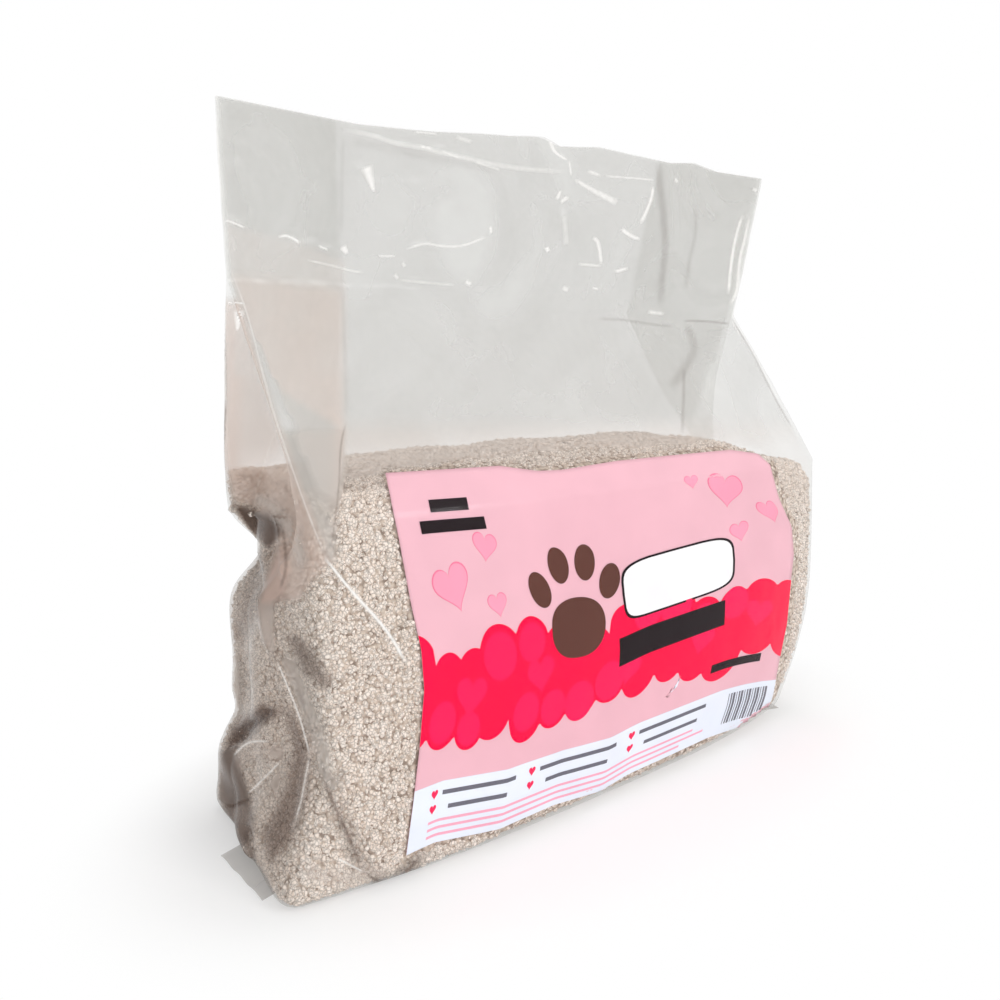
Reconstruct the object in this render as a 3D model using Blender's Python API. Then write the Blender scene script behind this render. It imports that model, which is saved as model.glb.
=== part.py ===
"""Clear side-gusset film bag, about half full of cat litter, with a printed sheet behind its front panel.

Metres, +Z up. X runs along the bag's width, the front panel faces -Y and the bag stands on Z = 0.
The flat header lies in the plane Y = 0 while the bag is drawn. The finished pieces are then moved
together, so that the origin is at the bottom centre of the bag's bounding box.
"""
import math
from collections import namedtuple

import bpy
import numpy as np

# The bag as it stands
BAG_HEIGHT = 0.333
FILM_WALL = 0.0004
SHOULDER_HEIGHT = 0.160  # where the side panels start to fold in
BELLY_HEIGHT = 0.085  # where the filled part is widest
BASE_RADIUS = 0.010  # lower edge, between the flat base and the walls
CORNER_CUT = 0.010  # how far a filled corner is cut back along each wall
SEAL_HEIGHT = 0.012  # welded band along the top edge

# The folded film of the header
GUSSET_TUCK = 0.055  # how far each side panel is folded in
FOLD_START = 0.138  # height at which that fold begins
FLAP_CLOSE = 0.085  # height over which the folded flap comes to lie against its panel
LAYER_STEP = 0.0012  # from one film layer to the next, wall centre to wall centre
FOLD_SPACE = 0.0024  # between the two layers of a folded side panel
FOLD_CUT = 0.0004  # rounding of a fold
SOFT_FOLD_CUT = 0.0016  # rounding of the same fold where the bag is filled
VENT_INSET = 0.005  # unwelded end of the seal, where air leaves the bag
HEADER_WAVE = 0.005  # sideways waves of the header
HEADER_TURNS = 5.0  # radians of that wave from the middle to a side fold
HEADER_START = 0.6
TOP_WAVE = 0.003  # rise and fall of the top edge
TOP_TURNS = 4.0
TOP_START = 1.2

# Rounding of the filled side walls
CORNER_DEPTH = 0.026  # from the front edge back to the first fold of the side panel
CORNER_SHARE = 0.4  # the most that this takes of the bag's depth
EDGE_CUTS = 2.1  # first upright line of a panel, in corner cuts from its edge
SWELL_FADE = 3.0  # the side's bulge is gone at a third of the gable
BULGE_FADE = 1.6  # and that of the panels at most of it
KINK = 0.004  # length of the soft bend where that fold runs out
SIDE_BULGE = 0.004
FRONT_BULGE = 0.012
BACK_BULGE = 0.006
NECK_BULGE = 0.002

# Flat ends of the bottom seal, which lie on the ground beside the base
EAR_REACH = 0.010  # beyond the foot's side
EAR_FRONT = 0.060  # from the header's plane forward to the ear's front end
EAR_WIDTH = 0.046
EAR_ROOT = 0.008  # lap of the ear on the base
EAR_THICKNESS = 0.0003

# Front left corner of the foot, which is pushed out over the ground
SPLAY = 0.008
SPLAY_START = 0.120  # distance from the middle at which it sets in
SPLAY_LENGTH = 0.060
SPLAY_DEPTH = 0.060
SPLAY_HEIGHT = 0.060

# Dents and lobes of the left side, where the litter has slumped: depth from the header's plane and
# height of the middle of each, its reach along both, and how far it moves out (plus) or in (minus)
DENT_START = 0.100  # distance from the middle at which the film begins to move
DENT_LENGTH = 0.060  # and over which it comes to move fully
Dent = namedtuple("Dent", "y z reach_y reach_z move")
LEFT_DENTS = (
    Dent(y=0.030, z=0.130, reach_y=0.034, reach_z=0.014, move=-0.017),  # pinched fold at the back edge
    Dent(y=-0.030, z=0.085, reach_y=0.022, reach_z=0.040, move=0.005),  # full lobe behind the front edge
    Dent(y=0.018, z=0.072, reach_y=0.016, reach_z=0.026, move=-0.004),  # slack film beside it
    Dent(y=0.012, z=0.034, reach_y=0.020, reach_z=0.012, move=0.006),  # small lobe above the foot
)

# Litter
RIM_RISE = 0.012  # of the litter's edge above the shoulders
MOUND_HEIGHT = 0.008

# Printed sheet
SHEET_WIDTH = 0.266
SHEET_SHIFT = 0.003  # of its middle from the header's middle
SHEET_THICKNESS = 0.0003
SHEET_TOP_LEFT = 0.177
SHEET_TOP_RIGHT = 0.163
CLEARANCE = 0.0003  # between pieces that touch

# One side of the bag: its reach from the middle at five heights, the depth of its front and back
# edges from the header's plane at three heights, and how far the flat header comes down
Side = namedtuple("Side", "foot belly shoulder neck top front_foot front_belly front_shoulder header")
LEFT = Side(
    foot=0.187,
    belly=0.172,
    shoulder=0.170,
    neck=0.175,
    top=0.176,
    front_foot=0.077,
    front_belly=0.073,
    front_shoulder=0.066,
    header=0.075,
)
RIGHT = Side(
    foot=0.142,
    belly=0.169,
    shoulder=0.168,
    neck=0.157,
    top=0.179,
    front_foot=0.061,
    front_belly=0.063,
    front_shoulder=0.060,
    header=0.086,
)
BACK_FOOT = 0.033
BACK_BELLY = 0.039
BACK_SHOULDER = 0.035

# How finely the walls are drawn
SHEET_COLUMNS = 8
BODY_ROWS = 11
GABLE_ROWS = 5
HEADER_ROWS = 3
SIDE_POINTS = 4
MOUND_RINGS = (0.985, 0.8, 0.5, 0.22)
CORNER_POINTS = 3
EDGE_COLUMNS = 2
FIRST_SHEET_ROW = 2  # the sheet's lower edge lies on this ring
ROW_MARGIN = 0.002  # a ring closer than this to the sheet's top is left out of it
LEFT_CORNERS = 5  # rounded corners of the left side that follow the back panel in a ring
PANEL_POINTS = SHEET_COLUMNS + 1 + EDGE_COLUMNS + 1

FLAT_DEPTH = 2 * LAYER_STEP + FOLD_SPACE
RIM_HEIGHT = SHOULDER_HEIGHT + RIM_RISE


def between(low, high, share):
    """Value at a share of the way from low to high."""
    return low + (high - low) * share


def ease(share):
    """Smooth step from 0 to 1."""
    share = min(max(share, 0.0), 1.0)
    return share * share * (3.0 - 2.0 * share)


def neck_height(side):
    """Height at which a side's flat header begins."""
    return BAG_HEIGHT - side.header


def gable_share(side, z):
    """0 up to the shoulder, 1 from the neck on, and the share of the way between them."""
    share = (z - SHOULDER_HEIGHT) / (neck_height(side) - SHOULDER_HEIGHT)
    return min(max(share, 0.0), 1.0)


def filled_profile(z, foot, belly, shoulder):
    """A size of the filled part that swells from foot to belly and then draws in to the shoulder."""
    if z < BELLY_HEIGHT:
        return between(foot, belly, math.sin(0.5 * math.pi * z / BELLY_HEIGHT))
    share = min((z - BELLY_HEIGHT) / (SHOULDER_HEIGHT - BELLY_HEIGHT), 1.0)
    return between(belly, shoulder, 1.0 - math.cos(0.5 * math.pi * share))


def side_reach(side, z):
    """Distance of a side's edges from the middle of the bag."""
    if z <= SHOULDER_HEIGHT:
        return filled_profile(z, side.foot, side.belly, side.shoulder)
    if z < neck_height(side):
        return between(side.shoulder, side.neck, gable_share(side, z))
    return between(side.neck, side.top, (z - neck_height(side)) / side.header)


def fold_share(side, z):
    """0 where a side panel begins to fold in, and 1 from the side's neck on."""
    share = (z - FOLD_START) / (neck_height(side) - FOLD_START)
    return min(max(share, 0.0), 1.0)


def fold_reach(side, z):
    """Distance of a side's inner folds from the middle."""
    return side_reach(side, z) - GUSSET_TUCK * fold_share(side, z)


def flap_depth(full, z):
    """Distance of a flap's inner fold from its panel, which shrinks as the flap closes."""
    opened = 1.0 - min(max((z - FOLD_START) / FLAP_CLOSE, 0.0), 1.0)
    return between(LAYER_STEP, full, opened ** 2), opened


def edge_depths(side, z):
    """Depths of a side's front and back edges from the header's plane."""
    share = gable_share(side, z)
    front = filled_profile(z, side.front_foot, side.front_belly, side.front_shoulder)
    back = filled_profile(z, BACK_FOOT, BACK_BELLY, BACK_SHOULDER)
    return between(front, FLAT_DEPTH / 2, share), between(back, FLAT_DEPTH / 2, share)


def panel_depths(x, z):
    """Depths of the front and back panels at a place between the bag's two sides, without their bulge."""
    left = edge_depths(LEFT, z)
    right = edge_depths(RIGHT, z)
    share = (x + side_reach(LEFT, z)) / (side_reach(LEFT, z) + side_reach(RIGHT, z))
    return between(left[0], right[0], share), between(left[1], right[1], share)


def rows():
    """Heights and insets of the rings, from the base to the top edge."""
    quarter = [math.radians(a) for a in (0, 30, 60)]
    found = [(BASE_RADIUS * (1 - math.cos(a)), BASE_RADIUS * (1 - math.sin(a))) for a in quarter]
    necks = sorted(neck_height(side) for side in (LEFT, RIGHT))
    heights = list(np.linspace(BASE_RADIUS, SHOULDER_HEIGHT, BODY_ROWS))
    heights += list(np.linspace(RIM_HEIGHT, necks[0], GABLE_ROWS))
    heights += list(np.linspace(necks[1], BAG_HEIGHT - SEAL_HEIGHT, HEADER_ROWS))
    heights.append(BAG_HEIGHT)
    return found + [(z, 0.0) for z in sorted({round(float(z), 6) for z in heights})]


def column_places(z, left_x, right_x):
    """X of the upright lines on the front and back panels, with the sheet's edges among them."""
    edge_gap = EDGE_CUTS * corner_cut(z) + VENT_INSET
    first = left_x + edge_gap
    last = right_x - edge_gap
    sheet_left = max(SHEET_SHIFT - SHEET_WIDTH / 2, first + VENT_INSET)
    sheet_right = min(SHEET_SHIFT + SHEET_WIDTH / 2, last - VENT_INSET)
    places = [first, (first + sheet_left) / 2]
    places += list(np.linspace(sheet_left, sheet_right, SHEET_COLUMNS + 1))
    places.append(last)
    return places


def corner_cut(z):
    """Rounding of the bag's upright edges, which shrinks to a fold in the header."""
    share = min(gable_share(LEFT, z), gable_share(RIGHT, z))
    return between(CORNER_CUT, FOLD_CUT, share)


def bulge_at(z, most):
    """How far a panel's middle stands out at a height."""
    share = 0.5 * (gable_share(LEFT, z) + gable_share(RIGHT, z))
    neck = NECK_BULGE * (1 - ease((share - 0.5) * 2))
    return between(most, neck, ease(share * BULGE_FADE))


def side_corners(side, sign, z, inset):
    """Corners of one side panel from its front edge to its back edge, each with its cut."""
    share = gable_share(side, z)
    x = side_reach(side, z) - inset
    front, back = edge_depths(side, z)
    front -= inset
    back -= inset
    step, opened = flap_depth(min(CORNER_DEPTH, CORNER_SHARE * (front + back)), z)
    kink = KINK * opened
    inner = fold_reach(side, z) - inset
    front_there, back_there = panel_depths(sign * (inner + inset), z)
    fold = between(FOLD_CUT, SOFT_FOLD_CUT, opened)
    edge = corner_cut(z)
    swell = SIDE_BULGE * (1 - ease(SWELL_FADE * share))
    wall_front = -(front_there - inset) + step + kink
    wall_back = back_there - inset - step - kink
    corners = [((x, -front), edge), ((x, -front + step), fold), ((inner, wall_front), fold)]
    for k in range(1, SIDE_POINTS + 1):
        part = k / (SIDE_POINTS + 1)
        out = swell * math.sin(math.pi * part)
        corners.append(((inner + out, between(wall_front, wall_back, part)), 0.0))
    corners += [((inner, wall_back), fold), ((x, back - step), fold), ((x, back), edge)]
    return [((sign * px, py), cut) for (px, py), cut in corners]


def panel_points(places, left, right, bulge):
    """Points of a panel between its two edges, standing out in its middle."""
    points = []
    for x in places:
        u = (x - left[0]) / (right[0] - left[0])
        swell = 1.0 - abs(2.0 * u - 1.0) ** 3
        points.append(((x, between(left[1], right[1], u) + bulge * swell), 0.0))
    return points


def outline(z, inset):
    """Middle of the film wall at one height, counter-clockwise from the front left corner."""
    left = side_corners(LEFT, -1, z, inset)
    right = side_corners(RIGHT, 1, z, inset)
    places = column_places(z, left[0][0][0], right[0][0][0])
    front = panel_points(places, left[0][0], right[0][0], -bulge_at(z, FRONT_BULGE))
    back = panel_points(places, left[-1][0], right[-1][0], bulge_at(z, BACK_BULGE))
    chain = [left[0]] + front + right + back[::-1] + left[:0:-1]
    return round_off(chain)


def round_off(chain):
    """Replaces each corner that has a cut by three points of a curve."""
    points = []
    for k, (corner, cut) in enumerate(chain):
        here = np.array(corner)
        if cut == 0.0:
            points.append(here)
            continue
        before = np.array(chain[k - 1][0]) - here
        after = np.array(chain[(k + 1) % len(chain)][0]) - here
        start = here + before * min(0.49, cut / np.linalg.norm(before))
        end = here + after * min(0.49, cut / np.linalg.norm(after))
        points += [start, 0.25 * start + 0.5 * here + 0.25 * end, end]
    return np.array(points)


def wave(x, z):
    """Sideways and upward shift of the header between its side folds, which grows to the top edge."""
    neck = min(neck_height(LEFT), neck_height(RIGHT))
    growth = ease((z - neck) / (BAG_HEIGHT - neck))
    span = min(LEFT.neck, RIGHT.neck) - GUSSET_TUCK
    place = np.clip(x / span, -1.0, 1.0)
    growth = growth * (1.0 - place ** 2) ** 2
    sideways = HEADER_WAVE * growth * np.sin(HEADER_TURNS * place + HEADER_START)
    return sideways, TOP_WAVE * growth * np.sin(TOP_TURNS * place + TOP_START)


def splay(x, y, z):
    """How far the foot's front left corner is pushed out sideways at each place."""
    near = np.array([ease((-px - SPLAY_START) / SPLAY_LENGTH) for px in x])
    front = np.array([ease(-py / SPLAY_DEPTH) for py in y])
    return -SPLAY * near * front * (1 - ease(z / SPLAY_HEIGHT))


def outward_of(grid):
    """Outward direction at each point of the wall."""
    along = np.roll(grid, -1, axis=1) - np.roll(grid, 1, axis=1)
    upright = np.gradient(grid, axis=0)
    outward = np.cross(along, upright)
    outward[0] = (0.0, 0.0, -1.0)
    return outward / np.linalg.norm(outward, axis=2, keepdims=True)


def dented(grid):
    """The wall with the dents and lobes of its left side, which move it along X."""
    near = np.clip((-grid[:, :, 0] - DENT_START) / DENT_LENGTH, 0.0, 1.0)
    moved = grid.copy()
    for dent in LEFT_DENTS:
        off_y = (grid[:, :, 1] - dent.y) / dent.reach_y
        off_z = (grid[:, :, 2] - dent.z) / dent.reach_z
        moved[:, :, 0] -= dent.move * near * np.exp(-(off_y ** 2) - off_z ** 2)
    return moved


def film_middle():
    """Grid of points on the middle of the film wall, and the outward direction of each before any dent.

    The skins and the litter stand off along these directions, so they stay parallel in a steep dent too.
    """
    grid = []
    for z, inset in rows():
        ring = outline(z, inset)
        sideways, upward = wave(ring[:, 0], z)
        height = max(z, FILM_WALL / 2) + upward
        x = ring[:, 0] + splay(ring[:, 0], ring[:, 1], z)
        grid.append(np.column_stack([x, ring[:, 1] + sideways, height + 0 * x]))
    grid = np.array(grid)
    outward = outward_of(grid)
    return dented(grid), outward


def split(quad, flip):
    """Two triangles of a quad, always along the same diagonal, so that two skins stay parallel."""
    halves = (quad[0], quad[1], quad[2]), (quad[0], quad[2], quad[3])
    return [half[::-1] if flip else half for half in halves]


def ring_faces(rings, size, flip):
    """Faces between rings of equal size that follow one another in the vertex list."""
    faces = []
    for r in range(rings - 1):
        for k in range(size):
            n = (k + 1) % size
            quad = (r * size + k, r * size + n, (r + 1) * size + n, (r + 1) * size + k)
            faces += split(quad, flip)
    return faces


def cap_faces(first, size, centre, flip):
    """Triangles from one ring to a centre point. Flip makes them face up."""
    faces = []
    for k in range(size):
        n = (k + 1) % size
        triangle = (first + n, first + k, centre)
        faces.append(triangle[::-1] if flip else triangle)
    return faces


def new_object(name, vertices, faces, material):
    """Mesh object with its own material, shaded smooth except at creases."""
    mesh = bpy.data.meshes.new(name)
    mesh.from_pydata([tuple(map(float, v)) for v in vertices], [], faces)
    mesh.validate()
    mesh.materials.append(material)
    mesh.shade_smooth()
    mesh.set_sharp_from_angle(angle=math.radians(40))
    made = bpy.data.objects.new(name, mesh)
    bpy.context.scene.collection.objects.link(made)
    return made


def new_material(name, colour, roughness, alpha=1.0):
    """Principled material without metal."""
    material = bpy.data.materials.new(name)
    material.use_nodes = True
    shader = material.node_tree.nodes["Principled BSDF"]
    shader.inputs["Base Color"].default_value = (*colour, 1.0)
    shader.inputs["Roughness"].default_value = roughness
    shader.inputs["Metallic"].default_value = 0.0
    shader.inputs["Alpha"].default_value = alpha
    return material


def make_film(grid, outward):
    """The film as one wall: outer skin, inner skin, base and welded top band."""
    count, size = grid.shape[:2]
    outer = grid + outward * FILM_WALL / 2
    inner = grid - outward * FILM_WALL / 2
    vertices = [*outer.reshape(-1, 3), *inner.reshape(-1, 3)]
    inner_start = count * size
    faces = ring_faces(count, size, False)
    faces += [tuple(inner_start + k for k in face) for face in ring_faces(count, size, True)]
    top_outer = (count - 1) * size
    for k in range(size):
        n = (k + 1) % size
        first = (top_outer + k, top_outer + n)
        faces.append((*first, inner_start + first[1], inner_start + first[0]))
    for start, flip in ((0, False), (inner_start, True)):
        ring = np.array(vertices[start:start + size])
        vertices.append(ring.mean(axis=0))
        faces += cap_faces(start, size, len(vertices) - 1, flip)
    film = new_object("film_bag", vertices, faces, new_material("film", (0.86, 0.87, 0.86), 0.22, 0.3))
    joined = [make_weld(grid), make_ear(LEFT, -1), make_ear(RIGHT, 1)]
    for piece in joined:
        piece.hide_render = True
        piece.display_type = "WIRE"
        union = film.modifiers.new(piece.name, "BOOLEAN")
        union.operation = "UNION"
        union.object = piece
        union.solver = "EXACT"
    return film, joined


def make_ear(side, sign):
    """Flat end of the bottom seal. It lies on the floor beside the base and tapers towards its tip."""
    inner = side.foot - BASE_RADIUS - EAR_ROOT
    outer = side.foot + EAR_REACH
    outline_points = [
        (inner, -EAR_FRONT + BASE_RADIUS),
        (outer - EAR_REACH / 4, -EAR_FRONT + EAR_REACH / 4),
        (outer, -EAR_FRONT + EAR_WIDTH),
        (inner, -EAR_FRONT + EAR_WIDTH + EAR_REACH),
    ]
    if sign < 0:
        outline_points = [(-x, y) for x, y in outline_points[::-1]]
    vertices = [(x, y, 0.0) for x, y in outline_points]
    vertices += [(x, y, EAR_THICKNESS) for x, y in outline_points]
    count = len(outline_points)
    faces = [tuple(range(count))[::-1], tuple(range(count, 2 * count))]
    for k in range(count):
        n = (k + 1) % count
        faces.append((k, n, count + n, count + k))
    name = "left_ear" if sign < 0 else "right_ear"
    return new_object(name, vertices, faces, new_material(name, (0.86, 0.87, 0.86), 0.22))


def make_weld(grid):
    """Bar that fuses all layers of the top band. It ends short of both edges, which leaves the vents."""
    columns = PANEL_POINTS
    front = grid[-2:, CORNER_POINTS:CORNER_POINTS + columns]
    end_back = grid.shape[1] - LEFT_CORNERS * CORNER_POINTS - SIDE_POINTS
    back = grid[-2:, end_back - columns:end_back][:, ::-1]
    vertices = []
    for row, lift in ((0, 0.0), (1, -FILM_WALL)):
        for side in (front, back):
            vertices += [point + np.array((0.0, 0.0, lift)) for point in side[row]]
    faces = []
    block = 2 * columns
    for k in range(columns - 1):
        low_front, low_back = k, columns + k
        up_front, up_back = block + k, block + columns + k
        faces.append((low_front, low_front + 1, up_front + 1, up_front))
        faces.append((low_back + 1, low_back, up_back, up_back + 1))
        faces.append((low_back, low_back + 1, low_front + 1, low_front))
        faces.append((up_front, up_front + 1, up_back + 1, up_back))
    end = columns - 1
    faces.append((columns, 0, block, block + columns))
    faces.append((end, columns + end, block + columns + end, block + end))
    return new_object("weld_bar", vertices, faces, new_material("weld", (0.9, 0.9, 0.9), 0.3))


def make_litter(grid, outward):
    """The litter: what the film encloses up to the rim, with a low mound between the side folds on top."""
    heights = [z for z, inset in rows()]
    count = sum(1 for z in heights if z <= RIM_HEIGHT + CLEARANCE)
    size = grid.shape[1]
    depth = FILM_WALL / 2 + SHEET_THICKNESS + 2 * CLEARANCE
    body = grid[:count] - outward[:count] * depth
    rings = [*body]
    rim = body[-1].copy()
    left, right = (fold_reach(side, RIM_HEIGHT) for side in (LEFT, RIGHT))
    rim[:, 0] = np.clip(rim[:, 0], depth - left, right - depth)
    centre = rim.mean(axis=0)
    for scale in MOUND_RINGS:
        ring = centre + (rim - centre) * scale
        ring[:, 2] = rim[:, 2] + MOUND_HEIGHT * (1 - scale * scale)
        rings.append(ring)
    vertices = list(np.array(rings).reshape(-1, 3))
    faces = ring_faces(len(rings), size, False)
    vertices.append(np.array(rings[0]).mean(axis=0))
    faces += cap_faces(0, size, len(vertices) - 1, False)
    vertices.append(centre + np.array((0.0, 0.0, MOUND_HEIGHT)))
    faces += cap_faces((len(rings) - 1) * size, size, len(vertices) - 1, True)
    return new_object("litter_fill", vertices, faces, new_material("litter", (0.56, 0.48, 0.42), 0.95))


def make_sheet(grid, outward):
    """The printed sheet, which lies between the front panel and the litter."""
    first = CORNER_POINTS + EDGE_COLUMNS
    columns = range(first, first + SHEET_COLUMNS + 1)
    heights = [z for z, inset in rows()]
    low_top = min(SHEET_TOP_LEFT, SHEET_TOP_RIGHT)
    body = [r for r, z in enumerate(heights) if r >= FIRST_SHEET_ROW and z < low_top - ROW_MARGIN]
    lines = [[(grid[r, k], outward[r, k]) for k in columns] for r in body]
    top = []
    for n, k in enumerate(columns):
        height = between(SHEET_TOP_LEFT, SHEET_TOP_RIGHT, n / SHEET_COLUMNS)
        above = next(r for r, z in enumerate(heights) if z >= height)
        share = (height - heights[above - 1]) / (heights[above] - heights[above - 1])
        place = between(grid[above - 1, k], grid[above, k], share)
        direction = between(outward[above - 1, k], outward[above, k], share)
        top.append((place, direction / np.linalg.norm(direction)))
    lines.append(top)
    near = FILM_WALL / 2 + CLEARANCE
    far = near + SHEET_THICKNESS
    vertices = [p - d * near for line in lines for p, d in line]
    vertices += [p - d * far for line in lines for p, d in line]
    wide = len(columns)
    behind = len(lines) * wide
    faces = []
    for r in range(len(lines) - 1):
        for k in range(wide - 1):
            a = r * wide + k
            quad = (a, a + 1, a + wide + 1, a + wide)
            faces += split(quad, False)
            faces += split(tuple(behind + v for v in quad), True)
    top_row = (len(lines) - 1) * wide
    edge = list(range(wide))
    edge += [r * wide + wide - 1 for r in range(1, len(lines))]
    edge += [top_row + k for k in range(wide - 2, -1, -1)]
    edge += [r * wide for r in range(len(lines) - 2, 0, -1)]
    for k, a in enumerate(edge):
        b = edge[(k + 1) % len(edge)]
        faces.append((b, a, behind + a, behind + b))
    return new_object("label_sheet", vertices, faces, new_material("label", (0.93, 0.52, 0.6), 0.55))


def centre_on_floor(film, others):
    """Moves all pieces so that the bag's bounding box has its bottom centre at the origin."""
    points = np.array([v.co for piece in (film, *others) for v in piece.data.vertices])
    low = points.min(axis=0)
    high = points.max(axis=0)
    shift = np.array(((low[0] + high[0]) / 2, (low[1] + high[1]) / 2, low[2]))
    for piece in (film, *others):
        for vertex in piece.data.vertices:
            vertex.co = np.array(vertex.co) - shift
        piece.data.update()


def main():
    """Builds the whole part."""
    for old in list(bpy.data.objects):
        bpy.data.objects.remove(old)
    grid, outward = film_middle()
    film, joined = make_film(grid, outward)
    litter = make_litter(grid, outward)
    sheet = make_sheet(grid, outward)
    centre_on_floor(film, (*joined, litter, sheet))


main()
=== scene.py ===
"""Looks of the clear side-gusset bag of cat litter: film, granules and the printed sheet.

Laid out as an add-on and run as a script. Everything is in metres in the frame of the CAD model.
The bag is drawn around its header: X along the width from the header's middle, Y = 0 in the header's
plane, and the printed front towards -Y. HEADER_ORIGIN then puts it where the CAD model stands.
"""
import math

import bmesh
import bpy
import numpy as np
from mathutils import Euler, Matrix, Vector, noise
from mathutils.bvhtree import BVHTree


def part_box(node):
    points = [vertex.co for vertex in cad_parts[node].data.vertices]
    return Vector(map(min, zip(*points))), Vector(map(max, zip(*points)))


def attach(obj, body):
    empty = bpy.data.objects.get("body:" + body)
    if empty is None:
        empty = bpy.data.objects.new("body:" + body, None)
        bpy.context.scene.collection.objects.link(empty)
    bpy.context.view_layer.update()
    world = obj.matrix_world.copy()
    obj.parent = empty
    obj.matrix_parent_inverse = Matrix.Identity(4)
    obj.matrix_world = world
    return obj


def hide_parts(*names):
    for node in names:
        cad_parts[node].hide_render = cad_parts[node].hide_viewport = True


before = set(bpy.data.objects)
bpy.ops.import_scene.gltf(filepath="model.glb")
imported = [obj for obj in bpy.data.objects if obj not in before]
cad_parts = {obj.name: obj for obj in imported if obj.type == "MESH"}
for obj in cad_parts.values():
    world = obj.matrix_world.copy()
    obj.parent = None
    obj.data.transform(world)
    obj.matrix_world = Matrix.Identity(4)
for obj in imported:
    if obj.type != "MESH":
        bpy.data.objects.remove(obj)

bl_info = {
    "name": "Clear Litter Bag",
    "version": (1, 0, 0),
    "blender": (4, 5, 0),
    "location": "View3D > Sidebar > Litter Bag",
    "description": "Builds the film, the litter and the printed sheet of a clear gusseted bag",
    "category": "Add Mesh",
}

BOX_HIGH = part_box("film_bag")[1]
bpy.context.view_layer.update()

MILLIMETRE = 0.001

# The bag's own sizes in metres, as in the CAD model
HEIGHT = 0.333
SHOULDER = 0.160
BELLY = 0.085
BASE_RADIUS = 0.010
CORNER_CUT = 0.012
FOLD_START = 0.138
FLAP_CLOSE = 0.085
LEFT = {"foot": 0.187, "belly": 0.172, "shoulder": 0.170, "neck": 0.175, "top": 0.176, "header": 0.075,
        "tuck": 0.055}
LEFT_FRONT = {"foot": 0.077, "belly": 0.073, "shoulder": 0.066}
RIGHT = {"foot": 0.142, "belly": 0.169, "shoulder": 0.168, "neck": 0.157, "top": 0.179, "header": 0.086,
         "tuck": 0.092}
RIGHT_FRONT = {"foot": 0.061, "belly": 0.063, "shoulder": 0.060}
BACK = {"foot": 0.033, "belly": 0.039, "shoulder": 0.035}
FRONT_BULGE = 0.012
BACK_BULGE = 0.006
NECK_BULGE = 0.002
SIDE_BULGE = 0.004
CORNER_DEPTH = 0.026
KINK = 0.004
LAYER_STEP = 0.0006
FOLD_SPACE = 0.0008
FOLD_CUT = 0.0003
FLAT_DEPTH = 2 * LAYER_STEP + FOLD_SPACE
HEADER_ORIGIN = Vector((BOX_HIGH[0] - RIGHT["top"], BOX_HIGH[1] - BACK["belly"] - BACK_BULGE, 0.0))

# Half the width over which the top edge curls, and how far it moves at most
HEADER_SPAN = 0.102
HEADER_CURL = 0.005
# Height at which the film's layers begin to lie together, and the height over which they do so
HEADER_FOOT = 0.225
HEADER_BLEND = 0.03
# Flat ends of the bottom seal
EAR_REACH = 0.010
EAR_FRONT = 0.060
EAR_WIDTH = 0.046
EAR_ROOT = 0.008
EAR_STEPS = 12
EAR_MILK = 0.9
# Painted shade on the seal ends, as a share of the film's tint for shadowed hollows
EAR_SHADE = 0.225

# How finely the film is drawn
FRONT_STEPS = 180
BACK_STEPS = 60
FLAP_STEPS = 12
WALL_STEPS = 44
CORNER_STEPS = 5
BASE_ROWS = 7
ROUND_ROWS = 4
BODY_ROWS = 152

# Front left corner of the foot, pushed out over the ground
SPLAY = 0.008

# Dents and lobes of the left side, in metres: depth from the header's plane and height of the middle,
# reach along both, and how far the film moves out (plus) or in (minus)
LEFT_DENTS = (
    (0.030, 0.130, 0.034, 0.014, -0.017),
    (-0.030, 0.085, 0.022, 0.040, 0.005),
    (0.018, 0.072, 0.016, 0.026, -0.004),
    (0.012, 0.034, 0.020, 0.012, 0.006),
    (-0.012, 0.118, 0.012, 0.016, -0.003),
    (0.030, 0.048, 0.016, 0.008, -0.004),
    (-0.020, 0.030, 0.010, 0.022, -0.003),
)

# Litter: height of its rim, rise of its mound, fall towards the right, its gap from the film, and how
# much of the rim's outline each row of the mound keeps
RIM = 0.172
MOUND = 0.008
RIGHT_FALL = 0.014
LITTER_GAP = 0.0006
MOUND_SCALES = np.linspace(0.985, 0.02, 26)
MOUND_ROUGHNESS = 0.0022

# Milkiness of the front and back film where it lies on the litter, against 1 where it hangs free, and
# of the side panels where they lie on the litter and where they hang free
MILK_ON_LITTER = 0.16
SIDE_MILK = (0.35, 0.22)

# Sideways share of an outward direction from which a granule counts as lying on that side
SIDE_TURN = 0.35
# Shares of the granules that are drawn on top, on the right and at the back
TOP_SHARE = 0.7
RIGHT_SHARE = 0.5
BACK_SHARE = 0.26


class BagSettings(bpy.types.PropertyGroup):
    """Sizes and colours of the film."""

    haze: bpy.props.FloatProperty(
        name="Haze", description="Share of light that one layer of free film scatters", default=0.38,
        min=0.0, max=1.0, subtype="FACTOR")
    film_colour: bpy.props.StringProperty(
        name="Film colour", description="Colour that the film's haze adds, as sRGB hex", default="C7C6C2")
    # Painted tint: the warm haze stands for warm light from the litter mirrored in the film and for the
    # shade of the left gusset
    warm_colour: bpy.props.StringProperty(
        name="Warm film", description="Colour of the haze where the film mirrors warm things, as sRGB hex",
        default="EAD3C7")
    hollow_colour: bpy.props.StringProperty(
        name="Film in hollows", description="Colour of the haze where the film lies in shadow, as sRGB hex",
        default="8E7D73")
    wrinkle: bpy.props.FloatProperty(
        name="Wrinkle height", description="Height of the film's soft wrinkles in the empty top",
        default=0.0011, unit="LENGTH")


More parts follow.
